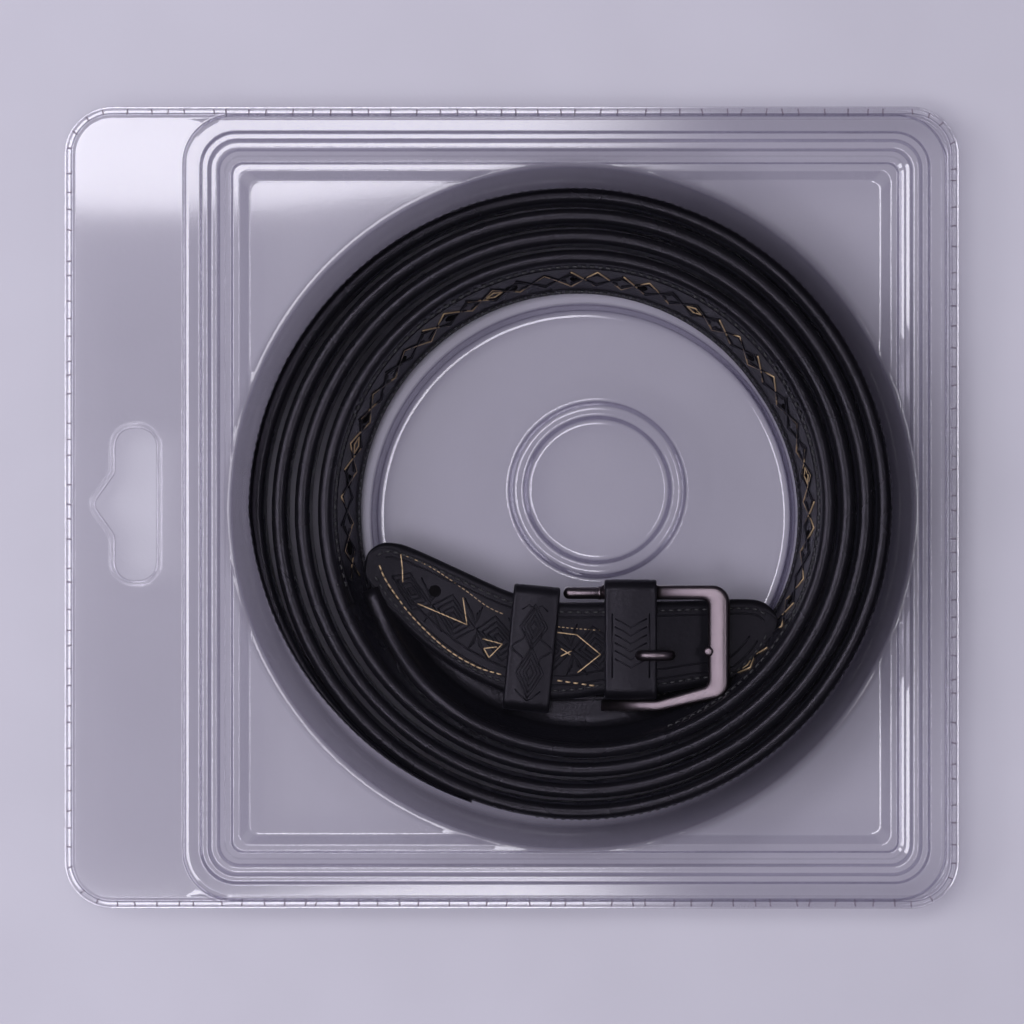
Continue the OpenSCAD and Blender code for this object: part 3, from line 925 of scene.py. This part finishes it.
def coil_line(skin, points, radius, parts=5, lift=0.0, sides=6, whole=False):
    """A line through [angle, height] points on the strap's inner face. Unless whole, it stops short."""
    path = []
    for (t0, h0), (t1, h1) in zip(points, points[1:]):
        for part in np.linspace(0, 1, parts + 1)[:-1]:
            path.append(coil_point(t0 + part * (t1 - t0), -HALF_T - lift, h0 + part * (h1 - h0)))
    if whole:
        path.append(coil_point(points[-1][0], -HALF_T - lift, points[-1][1]))
    rod(skin, path, radius, (0, 0, 1), 1.0, sides)


def coil_threads():
    """Gold zigzag and lozenges along the inner face of the innermost turn."""
    skin = Skin()
    reach = 4.6

    def lay(points):
        coil_line(skin, points, 0.19, 6, 0.1, 5, True)

    drift = np.random.default_rng(11).uniform(0.75, 1.1, WAVES + 1)
    for k in range(WAVES):
        a, high = WAVE_START + k * WAVE, reach * drift[k]
        lay([(a, -high), (a + WAVE * 0.5, high), (a + WAVE, -reach * drift[k + 1])])
        if k % 3 != 1:
            lay([(a, high * 0.95), (a + WAVE * 0.46, -high * 0.8)])
        if k % 4 == 2:
            mid, wide, tall = a + WAVE * 0.5, WAVE * 0.16, 1.5
            lay([(mid - wide, 0), (mid, tall), (mid + wide, 0), (mid, -tall), (mid - wide, 0)])
    return skin.make("coil_gold_threads", thread("gold_thread"), "strap_leather")


def coil_relief():
    """Raised leather lines beside the gold ones, as the embossing has them."""
    skin = Skin()
    for height in (7.2, -7.2):
        coil_line(skin, [(t, height) for t in np.arange(WAVE_START - 6, FACE_END, 3.0)], 0.32)
    for k in range(WAVES):
        a = WAVE_START + k * WAVE
        mid, end = a + WAVE * 0.5, a + WAVE
        for gap in (1.1, 2.3):
            spread = gap * 0.4
            coil_line(skin, [(a - spread, 5.4 - gap), (mid, -5.4 + gap), (end + spread, 5.4 - gap)], 0.3)
            foot = -5.2 + gap * 1.2
            coil_line(skin, [(a, foot), (mid, 5.2 - gap), (end, foot)], 0.3)
    return skin.make("coil_relief", black_leather("strap_face_leather"), "strap_leather")


def coil_holes():
    """Punched holes along the middle of the innermost turn, each a dish with a soft rim and painted shade
    inside.
    """
    skin = Skin()
    for turned in np.arange(1071.0, FACE_END, 16.4):
        here = coil_point(turned, -HALF_T, 0)
        out = here - coil_point(turned, -HALF_T - 1, 0)
        along = coil_point(turned + 1, -HALF_T, 0) - here
        along /= np.linalg.norm(along)
        up = np.cross(along, out)
        rings = []
        for radius, depth in ((1.75, 0.02), (1.5, -0.14), (1.3, -0.1), (1.15, 0.05), (0.1, 0.12)):
            rings.append([here + out * (depth - 0.12) + radius * (c * along + s * up)
                          for c, s in circle(18)])
        skin.tube(rings)
    return skin.make("coil_holes", hole_dark("hole_dark"), "strap_leather")


# Flat end of the strap

UPPER_EDGE = [(-36.9, -14.5), (-35.6, -11.0), (-32.5, -8.9), (-28.7, -8.9), (-24.5, -10.2), (-14.0, -14.9),
              (-6.0, -18.6), (0.0, -21.1), (6.0, -22.9), (12.0, -23.6), (20.0, -23.7), (33.0, -23.4),
              (46.0, -23.1), (57.5, -22.8), (62.5, -23.5), (65.8, -26.2), (66.6, -29.3)]
LOWER_EDGE = [(-36.9, -14.5), (-36.4, -17.2), (-34.2, -21.2), (-31.4, -24.9), (-23.0, -33.4), (-13.3, -40.6),
              (-2.7, -45.6), (4.0, -47.3), (10.0, -47.8), (17.0, -47.4), (24.0, -46.3), (36.0, -46.2),
              (46.0, -44.8), (52.0, -44.2), (57.5, -42.4), (63.0, -37.0), (66.6, -30.8)]
TIP_HOLE = (-19.1, -20.8)
# Half width from which the section keeps its rounded edges whole
TIP_HALF = 9
LOOP_TOP = 19.4
LOOP_LOW = 10.0
PRONG_Y = -36.7
# Steps between two points of an edge
STATIONS = 12


def spline(points, steps):
    """A smooth curve through points, with so many steps between each two."""
    spots = np.array(points, float)
    spots = np.vstack([2 * spots[0] - spots[1], spots, 2 * spots[-1] - spots[-2]])
    made = []
    for a, b, c, d in zip(spots, spots[1:], spots[2:], spots[3:]):
        for t in np.arange(steps) / steps:
            made.append(0.5 * (2 * b + (c - a) * t + (2 * a - 5 * b + 4 * c - d) * t ** 2
                               + (3 * b - a - 3 * c + d) * t ** 3))
    return np.array(made + [spots[-2]])


EDGES = (spline(UPPER_EDGE, STATIONS), spline(LOWER_EDGE, STATIONS))
MIDLINE = (EDGES[0] + EDGES[1]) / 2
ALONG = run_along(MIDLINE)


def flat_under(x):
    """Height of the flat end's lower face: it climbs over the tab and drops past the end bar."""
    xs = np.array([-40, -24, -5, 33, 45, 56, 70.0])
    zs = np.array([10.2, 10.2, 14.4, 14.4, 11.8, 10.3, 10.3])
    near = x + np.linspace(-5, 5, 11)
    return float(np.interp(near, xs, zs).mean())


def flat_spot(x, y, lift=0.0):
    """A place over the flat end's upper face."""
    return np.array([x, y, flat_under(x) + STRAP_T + lift])


def flat_field(along, across):
    """Plan point at a distance from the tip and so far towards the upper edge."""
    spot = np.array([np.interp(along, ALONG, MIDLINE[:, k]) for k in (0, 1)])
    side = np.array([np.interp(along, ALONG, (EDGES[0] - EDGES[1])[:, k]) for k in (0, 1)])
    return spot + across * side / np.linalg.norm(side)


def edge_row(edge, inset, steps_from=0, steps_to=None):
    """Plan points along one edge of the flat end, moved inwards."""
    rows = EDGES[edge][steps_from:steps_to]
    ways = unit(np.gradient(rows, axis=0))
    inward = np.stack([ways[:, 1], -ways[:, 0]], 1) * (1 if edge == 0 else -1)
    return rows + inset * inward


def flat_strap():
    """The flat end, from its pointed tip to its far rounded corner."""
    skin = Skin()
    loop = strap_section()
    rings = []
    for upper, lower in zip(*EDGES):
        half = np.linalg.norm(upper - lower) / 2
        middle = (upper + lower) / 2
        side = (upper - lower) / max(2 * half, 1e-6)
        squeeze = min(1.0, 0.25 + half / 4)
        ring = []
        for up, out in loop:
            # The narrow tip shrinks the whole section, and elsewhere only its middle gets narrower
            reach = out * half / (STRAP_W / 2)
            if half > TIP_HALF:
                reach = math.copysign(max(half - (STRAP_W / 2 - abs(out)), 0), out)
            x, y = middle + side * reach
            ring.append((x, y, flat_under(x) + HALF_T + up * squeeze))
        rings.append(ring)
    skin.tube(rings)
    return skin.make("strap_flat_end", black_leather("strap_face_leather"), "strap_leather")


def flat_row(skin, points, *sewing):
    """A row of stitches along plan points on the flat end, sewn with a pitch, radius, fill and bury."""
    path = spline(points, 8) if len(points) < 20 else np.array(points)
    length = run_along(path)

    def place(at):
        x, y = (np.interp(at, length, path[:, k]) for k in (0, 1))
        return flat_spot(x, y), np.array([0, 0, 1.0])

    stitches(skin, place, 0, length[-1], *sewing)


def flat_stitches():
    """Dark stitch rows along both edges of the flat end."""
    skin = Skin()
    for edge in (0, 1):
        flat_row(skin, edge_row(edge, 2.3, 14, 190), 2.1, 0.27, 0.66, 0.05)
    return skin.make("flat_stitch_rows", thread("dark_thread"), "strap_leather")


def flat_gold():
    """Gold threads of the flat end: stitched lines along its lower side and its tip, and short figures."""
    skin = Skin()
    rows = [
        ([(-33.0, -14.2), (-31.0, -18.6), (-25.1, -26.7), (-16.9, -34.6), (-9.0, -39.4), (-2.0, -41.7)],
         1.7, 0.2, 0.84),
        ([(-26.6, -11.9), (-20.0, -14.9), (-12.0, -20.2), (-6.0, -24.6), (-1.0, -26.9)], 1.25, 0.13, 0.7),
        ([(11.0, -42.9), (16.5, -43.7), (22.8, -44.6)], 2.0, 0.22, 0.62),
        ([(11.2, -29.6), (16.5, -30.1), (22.8, -30.6)], 1.1, 0.11, 0.6),
    ]
    for row in rows:
        flat_row(skin, *row)
    figures = [
        [(-27.6, -11.6), (-27.2, -15.0), (-27.1, -18.6)],
        [(-23.4, -23.9), (-11.1, -29.1), (-12.1, -22.4)],
        [(-7.2, -32.6), (-2.3, -33.9), (-5.6, -37.3), (-6.9, -35.0), (-3.6, -34.6)],
        [(11.4, -31.0), (16.2, -31.6), (22.1, -36.5), (16.4, -41.0)],
        [(12.3, -35.0), (14.6, -36.6)], [(12.2, -36.9), (14.9, -35.6)],
    ]
    for figure in figures:
        for one, two in zip(figure, figure[1:]):
            ends = np.linspace(one, two, 6)
            rod(skin, [flat_spot(x, y, 0.1) for x, y in ends], 0.17, (0, 0, 1), 0.8, 5)
    return skin.make("flat_gold_threads", thread("gold_thread"), "strap_leather")


def ridge(skin, plan, radius, height_at, squash=0.8):
    """A raised line over plan points, half sunk in the leather."""
    rod(skin, [(x, y, height_at(x)) for x, y in plan], radius, (0, 0, 1), squash, 6)


def lozenge(middle, long_half, wide_half):
    """A closed diamond in plan, as points a few steps apart."""
    cx, cy = middle
    tips = [(cx - long_half, cy), (cx, cy + wide_half), (cx + long_half, cy), (cx, cy - wide_half),
            (cx - long_half, cy)]
    return np.vstack([np.linspace(a, b, 6)[:-1] for a, b in zip(tips, tips[1:])] + [tips[:1]])


def flat_relief():
    """Pressed lines of the flat end: nested diamonds and the bands woven between them."""
    skin = Skin()

    def height(x):
        return flat_under(x) + STRAP_T + 0.02

    for edge, inset in ((0, 3.6), (1, 3.6), (1, 5.9)):
        ridge(skin, edge_row(edge, inset, 26, 186)[::2], 0.26, height)
    for at in np.arange(14.0, 74.0, 12.4):
        wide = min(5.6, 2.5 + 0.35 * (at - 8))
        for share in (1.0, 0.74, 0.48, 0.22):
            plan = [flat_field(s, v) for s, v in lozenge((at, 0), 6.0 * share, wide * share)]
            ridge(skin, plan, 0.26, height)
        for side in (-1, 1):
            for gap in (0.0, 1.2, 2.4):
                start = (at + 6.2 - 2.6 + gap * 0.7, side * (wide + 0.9 - gap * 0.9))
                tip = (at + 6.2, side * (0.9 + 0.2 * gap))
                end = (at + 6.2 + 2.6 - gap * 0.7, side * (wide + 0.9 - gap * 0.9))
                line = np.vstack([np.linspace(start, tip, 4)[:-1], np.linspace(tip, end, 4)])
                ridge(skin, [flat_field(s, v) for s, v in line], 0.22, height)
    return skin.make("flat_relief", black_leather("strap_face_leather"), "strap_leather")


def flat_holes():
    """The punched hole near the tip, a dish with painted shade inside."""
    skin = Skin()
    x, y = TIP_HOLE
    rings = []
    for radius, lift in ((1.6, -0.12), (1.45, 0.1), (1.3, 0.26), (1.15, 0.26), (0.1, 0.25)):
        rings.append([flat_spot(x + radius * c, y + radius * s, lift) for c, s in circle(18)])
    skin.tube(rings)
    return skin.make("flat_holes", hole_dark("hole_dark"), "strap_leather")


def buckle_tab():
    """Folded leather tab under the strap, round the heel bar."""
    skin = Skin()
    low, high = corners("buckle_tab")
    half = (high[1] - low[1]) / 2
    middle_y, thick = (high[1] + low[1]) / 2, high[2] - low[2]
    rings = []
    for x, share in ((low[0], 0.7), (low[0] + 0.3, 0.93), (low[0] + 0.9, 1.0), (high[0] - 4, 1.0),
                     (high[0] - 1.2, 0.97), (high[0] - 0.35, 0.8), (high[0], 0.45)):
        ring = []
        for up, out in strap_section():
            reach = math.copysign(half - (STRAP_W / 2 - abs(out)), out)
            ring.append((x, middle_y + reach, (low[2] + high[2]) / 2 + up * share * thick / STRAP_T))
        rings.append(ring)
    skin.tube(rings)
    return skin.make("buckle_tab_leather", black_leather("strap_edge_leather"), "strap_leather",
                     ("buckle_tab",))


# Leather loops

KEEPER = {"middle": (4.95, -35.0), "turned": -5.5, "width": 11.6, "length": 31.4}
BUCKLE_LOOP = {"middle": (29.6, -32.8), "turned": 0.0, "width": 13.0, "length": 29.8}


# Section of a loop from its side inwards: how far in, and how deep between its outer and its inner face
LOOP_RIM = ((0.0, 0.5), (0.1, 0.22), (0.4, 0.04), (0.9, 0.0), (1.5, 0.06), (2.0, -0.02))
LOOP_BACK = ((0.15, 0.85), (0.5, 1.0))


def loop_place(band, x, y):
    """Plan point of a loop's own x and y."""
    c, s = turn(band["turned"])
    return band["middle"][0] + c * x - s * y, band["middle"][1] + s * x + c * y


def loop_body(name, band, node):
    """A soft band of leather bent round the strap, with rounded edges."""
    skin = Skin()
    half, thick, bend = band["length"] / 2, 1.2, 3.0
    path = rounded_loop([(half, LOOP_LOW, bend), (half, LOOP_TOP, bend), (-half, LOOP_TOP, bend),
                         (-half, LOOP_LOW, bend)], 8)
    path = np.vstack([np.linspace(a, b, 5)[:-1] if np.linalg.norm(b - a) > 3 else [a]
                      for a, b in zip(path, np.roll(path, -1, 0))])
    inner = grown(path, -thick)
    rings = []
    w = band["width"] / 2
    rim = [(inset - w, depth) for inset, depth in LOOP_RIM]
    rim += [(w - inset, depth) for inset, depth in (*reversed(LOOP_RIM), *LOOP_BACK)]
    rim += [(inset - w, depth) for inset, depth in reversed(LOOP_BACK)]
    for out_spot, in_spot in zip(path, inner):
        ring = []
        for x, depth in rim:
            y, z = out_spot + (in_spot - out_spot) * depth
            ring.append((*loop_place(band, x, y), z))
        rings.append(ring)
    first, last = skin.strip(rings)
    skin.join(last, first)
    return skin.make(name, black_leather("loop_leather"), "loop_leather", (node,))


def loop_relief(name, band, figures):
    """Raised lines on the upper face of a loop, from figures in its own x and y."""
    skin = Skin()
    for figure, radius in figures:
        plan = [loop_place(band, x, y) for x, y in figure]
        ridge(skin, plan, radius, lambda x: LOOP_TOP - 0.01, 0.9)
    return skin.make(name, black_leather("loop_leather"), "loop_leather")


def keeper_figures():
    """Two chained diamonds with nested lines, woven where they meet."""
    made = []
    for middle, tall in ((5.4, 5.6), (-6.0, 6.4)):
        for share in (1.0, 0.78, 0.52, 0.26):
            diamond = lozenge((middle, 0), tall * share, 3.4 * share)
            made.append(([(v, s) for s, v in diamond], 0.27))
    for side in (-1, 1):
        wave = [(side * (2.6 - 2.4 * math.cos(math.radians(t)) * math.exp(-((t - 180) / 130) ** 2)),
                 -4.0 + 8.0 * t / 360) for t in range(0, 361, 20)]
        made.append((wave, 0.27))
        made.append(([(side * 3.2, 9.5), (side * 1.6, 10.8), (0, 9.7)], 0.24))
        made.append(([(side * 3.2, -10.4), (side * 1.5, -12.0), (0, -13.0)], 0.24))
    return made


def buckle_loop_figures():
    """Stacked chevrons, half hidden by the prong."""
    made = []
    for k in range(6):
        y = 3.0 - 2.0 * k
        made.append(([(-4.0, y + 2.2), (-2.0, y + 1.2), (0, y), (2.0, y + 1.2), (4.0, y + 2.2)], 0.24))
    for side in (-1, 1):
        made.append(([(side * 4.6, 6.5), (side * 4.6, -9.5)], 0.22))
    return made


# Buckle

HEEL_X = 26.5
HEEL_Z = 12.8
FRAME_TILT = 14.0
FRAME_LIFT = 1.0
FRAME_HALF_T = 1.6
# 1 makes the frame's section an ellipse, and less squares it
FRAME_ROUND = 0.62


def tilted(x, y, z):
    """A place on the frame, which slopes up from its heel bar."""
    c, s = turn(FRAME_TILT)
    return HEEL_X + c * x - s * z, y, HEEL_Z + s * x + c * z


def buckle_frame():
    """Cast frame: a C of two rails and a broad end bar, with heel bar, side peg and prong rest."""
    skin = Skin()
    rail_out, rail_in, low_in, low_out = -19.3, -22.9, -47.8, -50.8
    reach, bar, bend_x, end_y, stub = 28.6, 5.3, 10.4, -46.9, 3.7
    outer = section([(-stub, rail_out, 0), (reach, rail_out, 4.2), (reach, end_y, 4.2), (bend_x, low_out, 6),
                     (-stub, low_out, 0)], 10, 0)
    inner = section([(-stub, rail_in, 0), (reach - bar, rail_in, 1.6), (reach - bar, end_y + 3.0, 1.6),
                     (bend_x, low_in, 6), (-stub, low_in, 0)], 10, 0)
    rings = []
    for out_spot, in_spot in zip(outer, inner):
        middle, side = (out_spot + in_spot) / 2, (out_spot - in_spot) / 2
        ring = []
        for c, s in circle(24):
            wide = math.copysign(abs(c) ** FRAME_ROUND, c)
            tall = math.copysign(abs(s) ** FRAME_ROUND, s)
            x, y = middle + side * wide
            ring.append(tilted(x, y, FRAME_LIFT + FRAME_HALF_T * tall))
        rings.append(ring)
    skin.tube(rings)
    rod(skin, [(HEEL_X, low_out + 1.5, HEEL_Z), (HEEL_X, -35, HEEL_Z), (HEEL_X, rail_in + 1.2, HEEL_Z)],
        0.9, (0, 0, 1), 1, 14)
    peg_y, peg_z, peg_l, peg_r = -21.3, HEEL_Z + 0.1, 8.6, 1.5
    tip = HEEL_X - stub - peg_l - 1.3
    rings = []
    for x, share in ((0.0, 0.2), (0.15, 0.5), (0.5, 0.8), (1.0, 0.96), (1.6, 1.0), (peg_l, 1.0),
                     (peg_l + 0.1, 1.12), (peg_l + 0.8, 1.12), (peg_l + 0.9, 1.0), (peg_l + 2.4, 1.0)):
        rings.append([(tip + x, peg_y + peg_r * share * c, peg_z + peg_r * share * s) for c, s in circle(24)])
    skin.tube(rings)
    rings = []
    rest_x, rest_y, rest_r = reach - bar + 0.3, PRONG_Y + 1.0, 1.25
    for up, share in ((-1.2, 1.0), (1.6, 1.0), (1.9, 0.93), (2.1, 0.75), (2.2, 0.4), (2.22, 0.1)):
        rings.append([tilted(rest_x + rest_r * share * c, rest_y + rest_r * share * s, FRAME_LIFT + up)
                      for c, s in circle(20)])
    skin.tube(rings)
    return skin.make("buckle_frame_satin", satin_metal("satin_nickel"), "satin_nickel", ("buckle_frame",))


def buckle_prong():
    """Bent wire prong: round the heel bar, up through the loop, over in a low arch and down again."""
    skin = Skin()
    riser, dip, top, radius, eye_r = 31.9, 39.4, 20.9, 1.3, 1.3
    arch = [(x, PRONG_Y, z) for x, z in (
        (riser, 12.6), (riser, 18.6), (riser + 0.15, 19.6), (riser + 0.9, 20.6), (riser + 2.2, top),
        ((riser + dip) / 2, top + 0.15), (dip - 2.0, top), (dip - 0.8, 20.4), (dip - 0.1, 19.3),
        (dip, 18.2), (dip, 15.2))]
    rod(skin, spline(arch, 5), radius, (0, 1, 0), 1.0, 18)
    foot = [(x, PRONG_Y, HEEL_Z) for x in (HEEL_X, 29.0, riser)]
    rod(skin, foot, 1.0, (0, 0, 1), 1, 14)
    eye = [(HEEL_X + eye_r * c, PRONG_Y, HEEL_Z + eye_r * s) for c, s in (*circle(18), turn(360))]
    rod(skin, eye, 0.5, (0, 1, 0), 2.0, 10)
    return skin.make("buckle_prong_wire", satin_metal("satin_nickel"), "satin_nickel", ("buckle_prong",))


# Stage

VIEW_WIDTH = 256.0
VIEW_MIDDLE = (0.1, -1.1)
SENSOR = 36.0
BOX_Z = 1600
LAMP_COLOR = (0.985, 0.975, 1.0)


def soft_lamp(name, middle, aim, size, level, spin=0.0, fade=None):
    """A soft box. Its level is the brightness of its face, where 1 is white.

    fade says where along its first side the light is 0 and where it is full.
    """
    data = bpy.data.lights.new(name, "AREA")
    data.shape = "RECTANGLE"
    data.size, data.size_y = (s * MM for s in size)
    # The power that makes the face as bright as its level
    data.energy = 4 * level * data.size * data.size_y
    data.color = LAMP_COLOR
    if fade:
        tree = Tree(data)
        across = tree.add("ShaderNodeNewGeometry", output="Parametric")
        across = tree.add("ShaderNodeSeparateXYZ", sockets={"Vector": across}, output="X")
        share = tree.ramp(across, *fade)
        tree.end(tree.add("ShaderNodeEmission", sockets={"Strength": share}), "Light")
    lamp = bpy.data.objects.new(name, data)
    lamp.location = Vector(middle) * MM
    way = Vector(aim) * MM - lamp.location
    lamp.rotation_euler = way.to_track_quat("-Z", "Y").to_euler()
    lamp.rotation_euler.rotate_axis("Z", math.radians(spin))
    bpy.context.scene.collection.objects.link(lamp)
    return lamp


def paper():
    """The floor sheet, far wider than the view."""
    skin = Skin()
    spread = 3200.0
    steps = np.linspace(-1, 1, 33)
    rows = [skin.ring([(spread * a, spread * b, 0.0) for a in steps]) for b in steps]
    for one, two in zip(rows, rows[1:]):
        skin.join(one, two, False)
    mesh = bpy.data.meshes.new("floor_paper")
    mesh.from_pydata([[v * MM for v in p] for p in skin.points], [], skin.faces)
    mesh.materials.append(paper_floor("floor_paper"))
    floor = bpy.data.objects.new("floor_paper", mesh)
    bpy.context.scene.collection.objects.link(floor)
    return floor


def build_world(look):
    """Even light from all round, and the floor's own colour behind it."""
    world = bpy.data.worlds.new("studio")
    bpy.context.scene.world = world
    tree = Tree(world)
    seen = tree.add("ShaderNodeLightPath", output="Is Camera Ray")
    way = tree.add("ShaderNodeTexCoord", output="Generated")
    x, z = (tree.add("ShaderNodeSeparateXYZ", sockets={"Vector": way}, output=axis) for axis in "XZ")
    # Strongest from the sides, and from the right more than from the left
    side_on = (1.0 - z * z) * (1.0 + 0.4 * x)
    around = tree.add("ShaderNodeBackground", sockets={
        "Color": solid(look.air_color), "Strength": look.air_top + (look.air - look.air_top) * side_on})
    behind = tree.add("ShaderNodeBackground", sockets={"Color": solid(look.floor_color), "Strength": 1.0})
    tree.end(tree.blend(seen, around, behind), "World")


def build_lamps(look):
    """Soft boxes that the sheet mirrors, a key from the left, and a box at the right that only glints."""
    level = look.lamps
    soft_lamp("box_top", (-135, 548, BOX_Z), (-135, 548, 0), (560, 760), 4.1 * level, -3, (1.0, 0.74))
    soft_lamp("box_bottom", (-65, -584, BOX_Z), (-65, -584, 0), (390, 760), 4.4 * level, 2, (1.0, 0.67))
    soft_lamp("box_left", (-700, 0, BOX_Z), (-700, 0, 0), (700, 1300), 3.9 * level)
    soft_lamp("key_left", (-1400, 100, 1400), (0, 0, 0), (1100, 600), 3.8 * level)
    glint = soft_lamp("box_right", (650, -60, BOX_Z), (650, -60, 0), (300, 760), 5.0 * level)
    glint.visible_diffuse = False


def build_camera(look):
    """The camera straight over the pack, as far off as the photo's perspective says."""
    data = bpy.data.cameras.new("camera")
    data.sensor_width = SENSOR
    data.lens = SENSOR * look.distance / (VIEW_WIDTH * MM)
    camera = bpy.data.objects.new("camera", data)
    camera.location = (VIEW_MIDDLE[0] * MM, VIEW_MIDDLE[1] * MM, WELD_Z * MM + look.distance)
    bpy.context.scene.collection.objects.link(camera)
    bpy.context.scene.camera = camera


# Sizes and colours that a user changes


def color_of(name, description, default):
    """A colour setting."""
    return bpy.props.FloatVectorProperty(
        name=name, description=description, default=default, size=3, min=0, max=1, subtype="COLOR")


def number_of(name, description, default, high, low=0, **kind):
    """A number setting."""
    return bpy.props.FloatProperty(
        name=name, description=description, default=default, min=low, max=high, **kind)


class SheetLook(bpy.types.PropertyGroup):
    """Look of the two clear sheets."""

    tint: color_of("Tint", "Colour of the sheet seen face on", (0.99, 0.988, 0.993))
    # Partly painted shade: the dark violet that the sheet's walls show edge on
    edge_tint: color_of("Edge tint", "Colour of the sheet seen edge on", (0.14, 0.115, 0.25))
    # Painted shade: a grey that darkens what shows through the dome's shoulder
    shoulder_tint: color_of("Shoulder tint", "Colour of the dome's shoulder", (0.38, 0.37, 0.4))
    gloss: number_of("Gloss", "Share of light that the sheet throws back face on", 0.1, 1, subtype="FACTOR")
    waviness: number_of("Waviness", "Height of the slow waves in the sheet", 0.0007, 0.01, unit="LENGTH")


class LeatherLook(bpy.types.PropertyGroup):
    """Look of the belt's leather."""

    color: color_of("Colour", "Colour of the leather's hollows", (0.0032, 0.003, 0.0042))
    grain_depth: number_of("Grain", "Strength of the grain", 0.5, 1, subtype="FACTOR")


class MetalLook(bpy.types.PropertyGroup):
    """Look of the buckle."""

    color: color_of("Colour", "Colour of the satin metal", (0.128, 0.104, 0.12))
    roughness: number_of("Roughness", "How dull the satin metal is", 0.3, 1, subtype="FACTOR")


class StageLook(bpy.types.PropertyGroup):
    """Floor, light and camera."""

    floor_color: color_of("Floor", "Colour of the floor paper", (0.585, 0.565, 0.668))
    air_color: color_of("Air", "Colour of the light from all round", (0.9, 0.88, 1.0))
    air: number_of("Even light", "Strength of the light from the sides", 0.24, 2)
    air_top: number_of("Light from above", "Strength of the even light from straight above", 0.02, 2)
    lamps: number_of("Lamps", "Level of the soft boxes", 1.0, 4)
    distance: number_of("Camera distance", "Height of the camera over the weld", 1.45, 5, 0.5, unit="LENGTH")


# Operators, one for each piece or group of like pieces


class BELTPACK_OT_front_sheet(bpy.types.Operator):
    """Front half of the pack, with its weld marks"""

    bl_idname = "beltpack.front_sheet"
    bl_label = "Front sheet"

    def execute(self, context):
        front_sheet()
        weld_marks()
        return {"FINISHED"}


class BELTPACK_OT_back_sheet(bpy.types.Operator):
    """Back half of the pack"""

    bl_idname = "beltpack.back_sheet"
    bl_label = "Back sheet"

    def execute(self, context):
        back_sheet()
        return {"FINISHED"}


class BELTPACK_OT_coil(bpy.types.Operator):
    """Coiled stretch of the strap, with its stitches, gold threads and holes"""

    bl_idname = "beltpack.coil"
    bl_label = "Coiled strap"

    def execute(self, context):
        coil_strap()
        coil_stitches()
        coil_threads()
        coil_relief()
        coil_holes()
        return {"FINISHED"}


class BELTPACK_OT_flat_end(bpy.types.Operator):
    """Flat end of the strap and its folded tab"""

    bl_idname = "beltpack.flat_end"
    bl_label = "Flat end"

    def execute(self, context):
        flat_strap()
        flat_stitches()
        flat_gold()
        flat_relief()
        flat_holes()
        buckle_tab()
        return {"FINISHED"}


class BELTPACK_OT_loops(bpy.types.Operator):
    """The two leather loops"""

    bl_idname = "beltpack.loops"
    bl_label = "Leather loops"

    def execute(self, context):
        loop_body("keeper_loop_band", KEEPER, "keeper_loop")
        loop_relief("keeper_loop_relief", KEEPER, keeper_figures())
        loop_body("buckle_loop_band", BUCKLE_LOOP, "buckle_loop")
        loop_relief("buckle_loop_relief", BUCKLE_LOOP, buckle_loop_figures())
        return {"FINISHED"}


class BELTPACK_OT_buckle(bpy.types.Operator):
    """Buckle frame and prong"""

    bl_idname = "beltpack.buckle"
    bl_label = "Buckle"

    def execute(self, context):
        buckle_frame()
        buckle_prong()
        return {"FINISHED"}


class BELTPACK_OT_stage(bpy.types.Operator):
    """Floor, light and camera"""

    bl_idname = "beltpack.stage"
    bl_label = "Stage"

    def execute(self, context):
        look = context.scene.stage_look
        paper()
        build_world(look)
        build_lamps(look)
        build_camera(look)
        context.scene.view_settings.view_transform = "Standard"
        cycles = context.scene.cycles
        cycles.transparent_max_bounces = 16
        cycles.max_bounces = 3
        cycles.diffuse_bounces = 1
        cycles.caustics_reflective = False
        cycles.use_light_tree = False
        return {"FINISHED"}


class BELTPACK_PT_panel(bpy.types.Panel):
    """The pack's settings and steps"""

    bl_idname = "BELTPACK_PT_panel"
    bl_label = "Belt pack"
    bl_space_type = "VIEW_3D"
    bl_region_type = "UI"
    bl_category = "Belt pack"

    def draw(self, context):
        for name in LOOKS:
            look = getattr(context.scene, name)
            for key in look.__annotations__:
                self.layout.prop(look, key)
        for step in STEPS:
            self.layout.operator(step.bl_idname)


LOOKS = {"sheet_look": SheetLook, "leather_look": LeatherLook, "metal_look": MetalLook,
         "stage_look": StageLook}
STEPS = (BELTPACK_OT_front_sheet, BELTPACK_OT_back_sheet, BELTPACK_OT_coil, BELTPACK_OT_flat_end,
         BELTPACK_OT_loops, BELTPACK_OT_buckle, BELTPACK_OT_stage)


def register():
    for kind in (*LOOKS.values(), *STEPS, BELTPACK_PT_panel):
        bpy.utils.register_class(kind)
    for name, kind in LOOKS.items():
        setattr(bpy.types.Scene, name, bpy.props.PointerProperty(type=kind))


def unregister():
    for name in LOOKS:
        delattr(bpy.types.Scene, name)
    for kind in reversed((*LOOKS.values(), *STEPS, BELTPACK_PT_panel)):
        bpy.utils.unregister_class(kind)


def main():
    register()
    for step in STEPS:
        group, name = step.bl_idname.split(".")
        getattr(getattr(bpy.ops, group), name)()


if __name__ == "__main__":
    main()
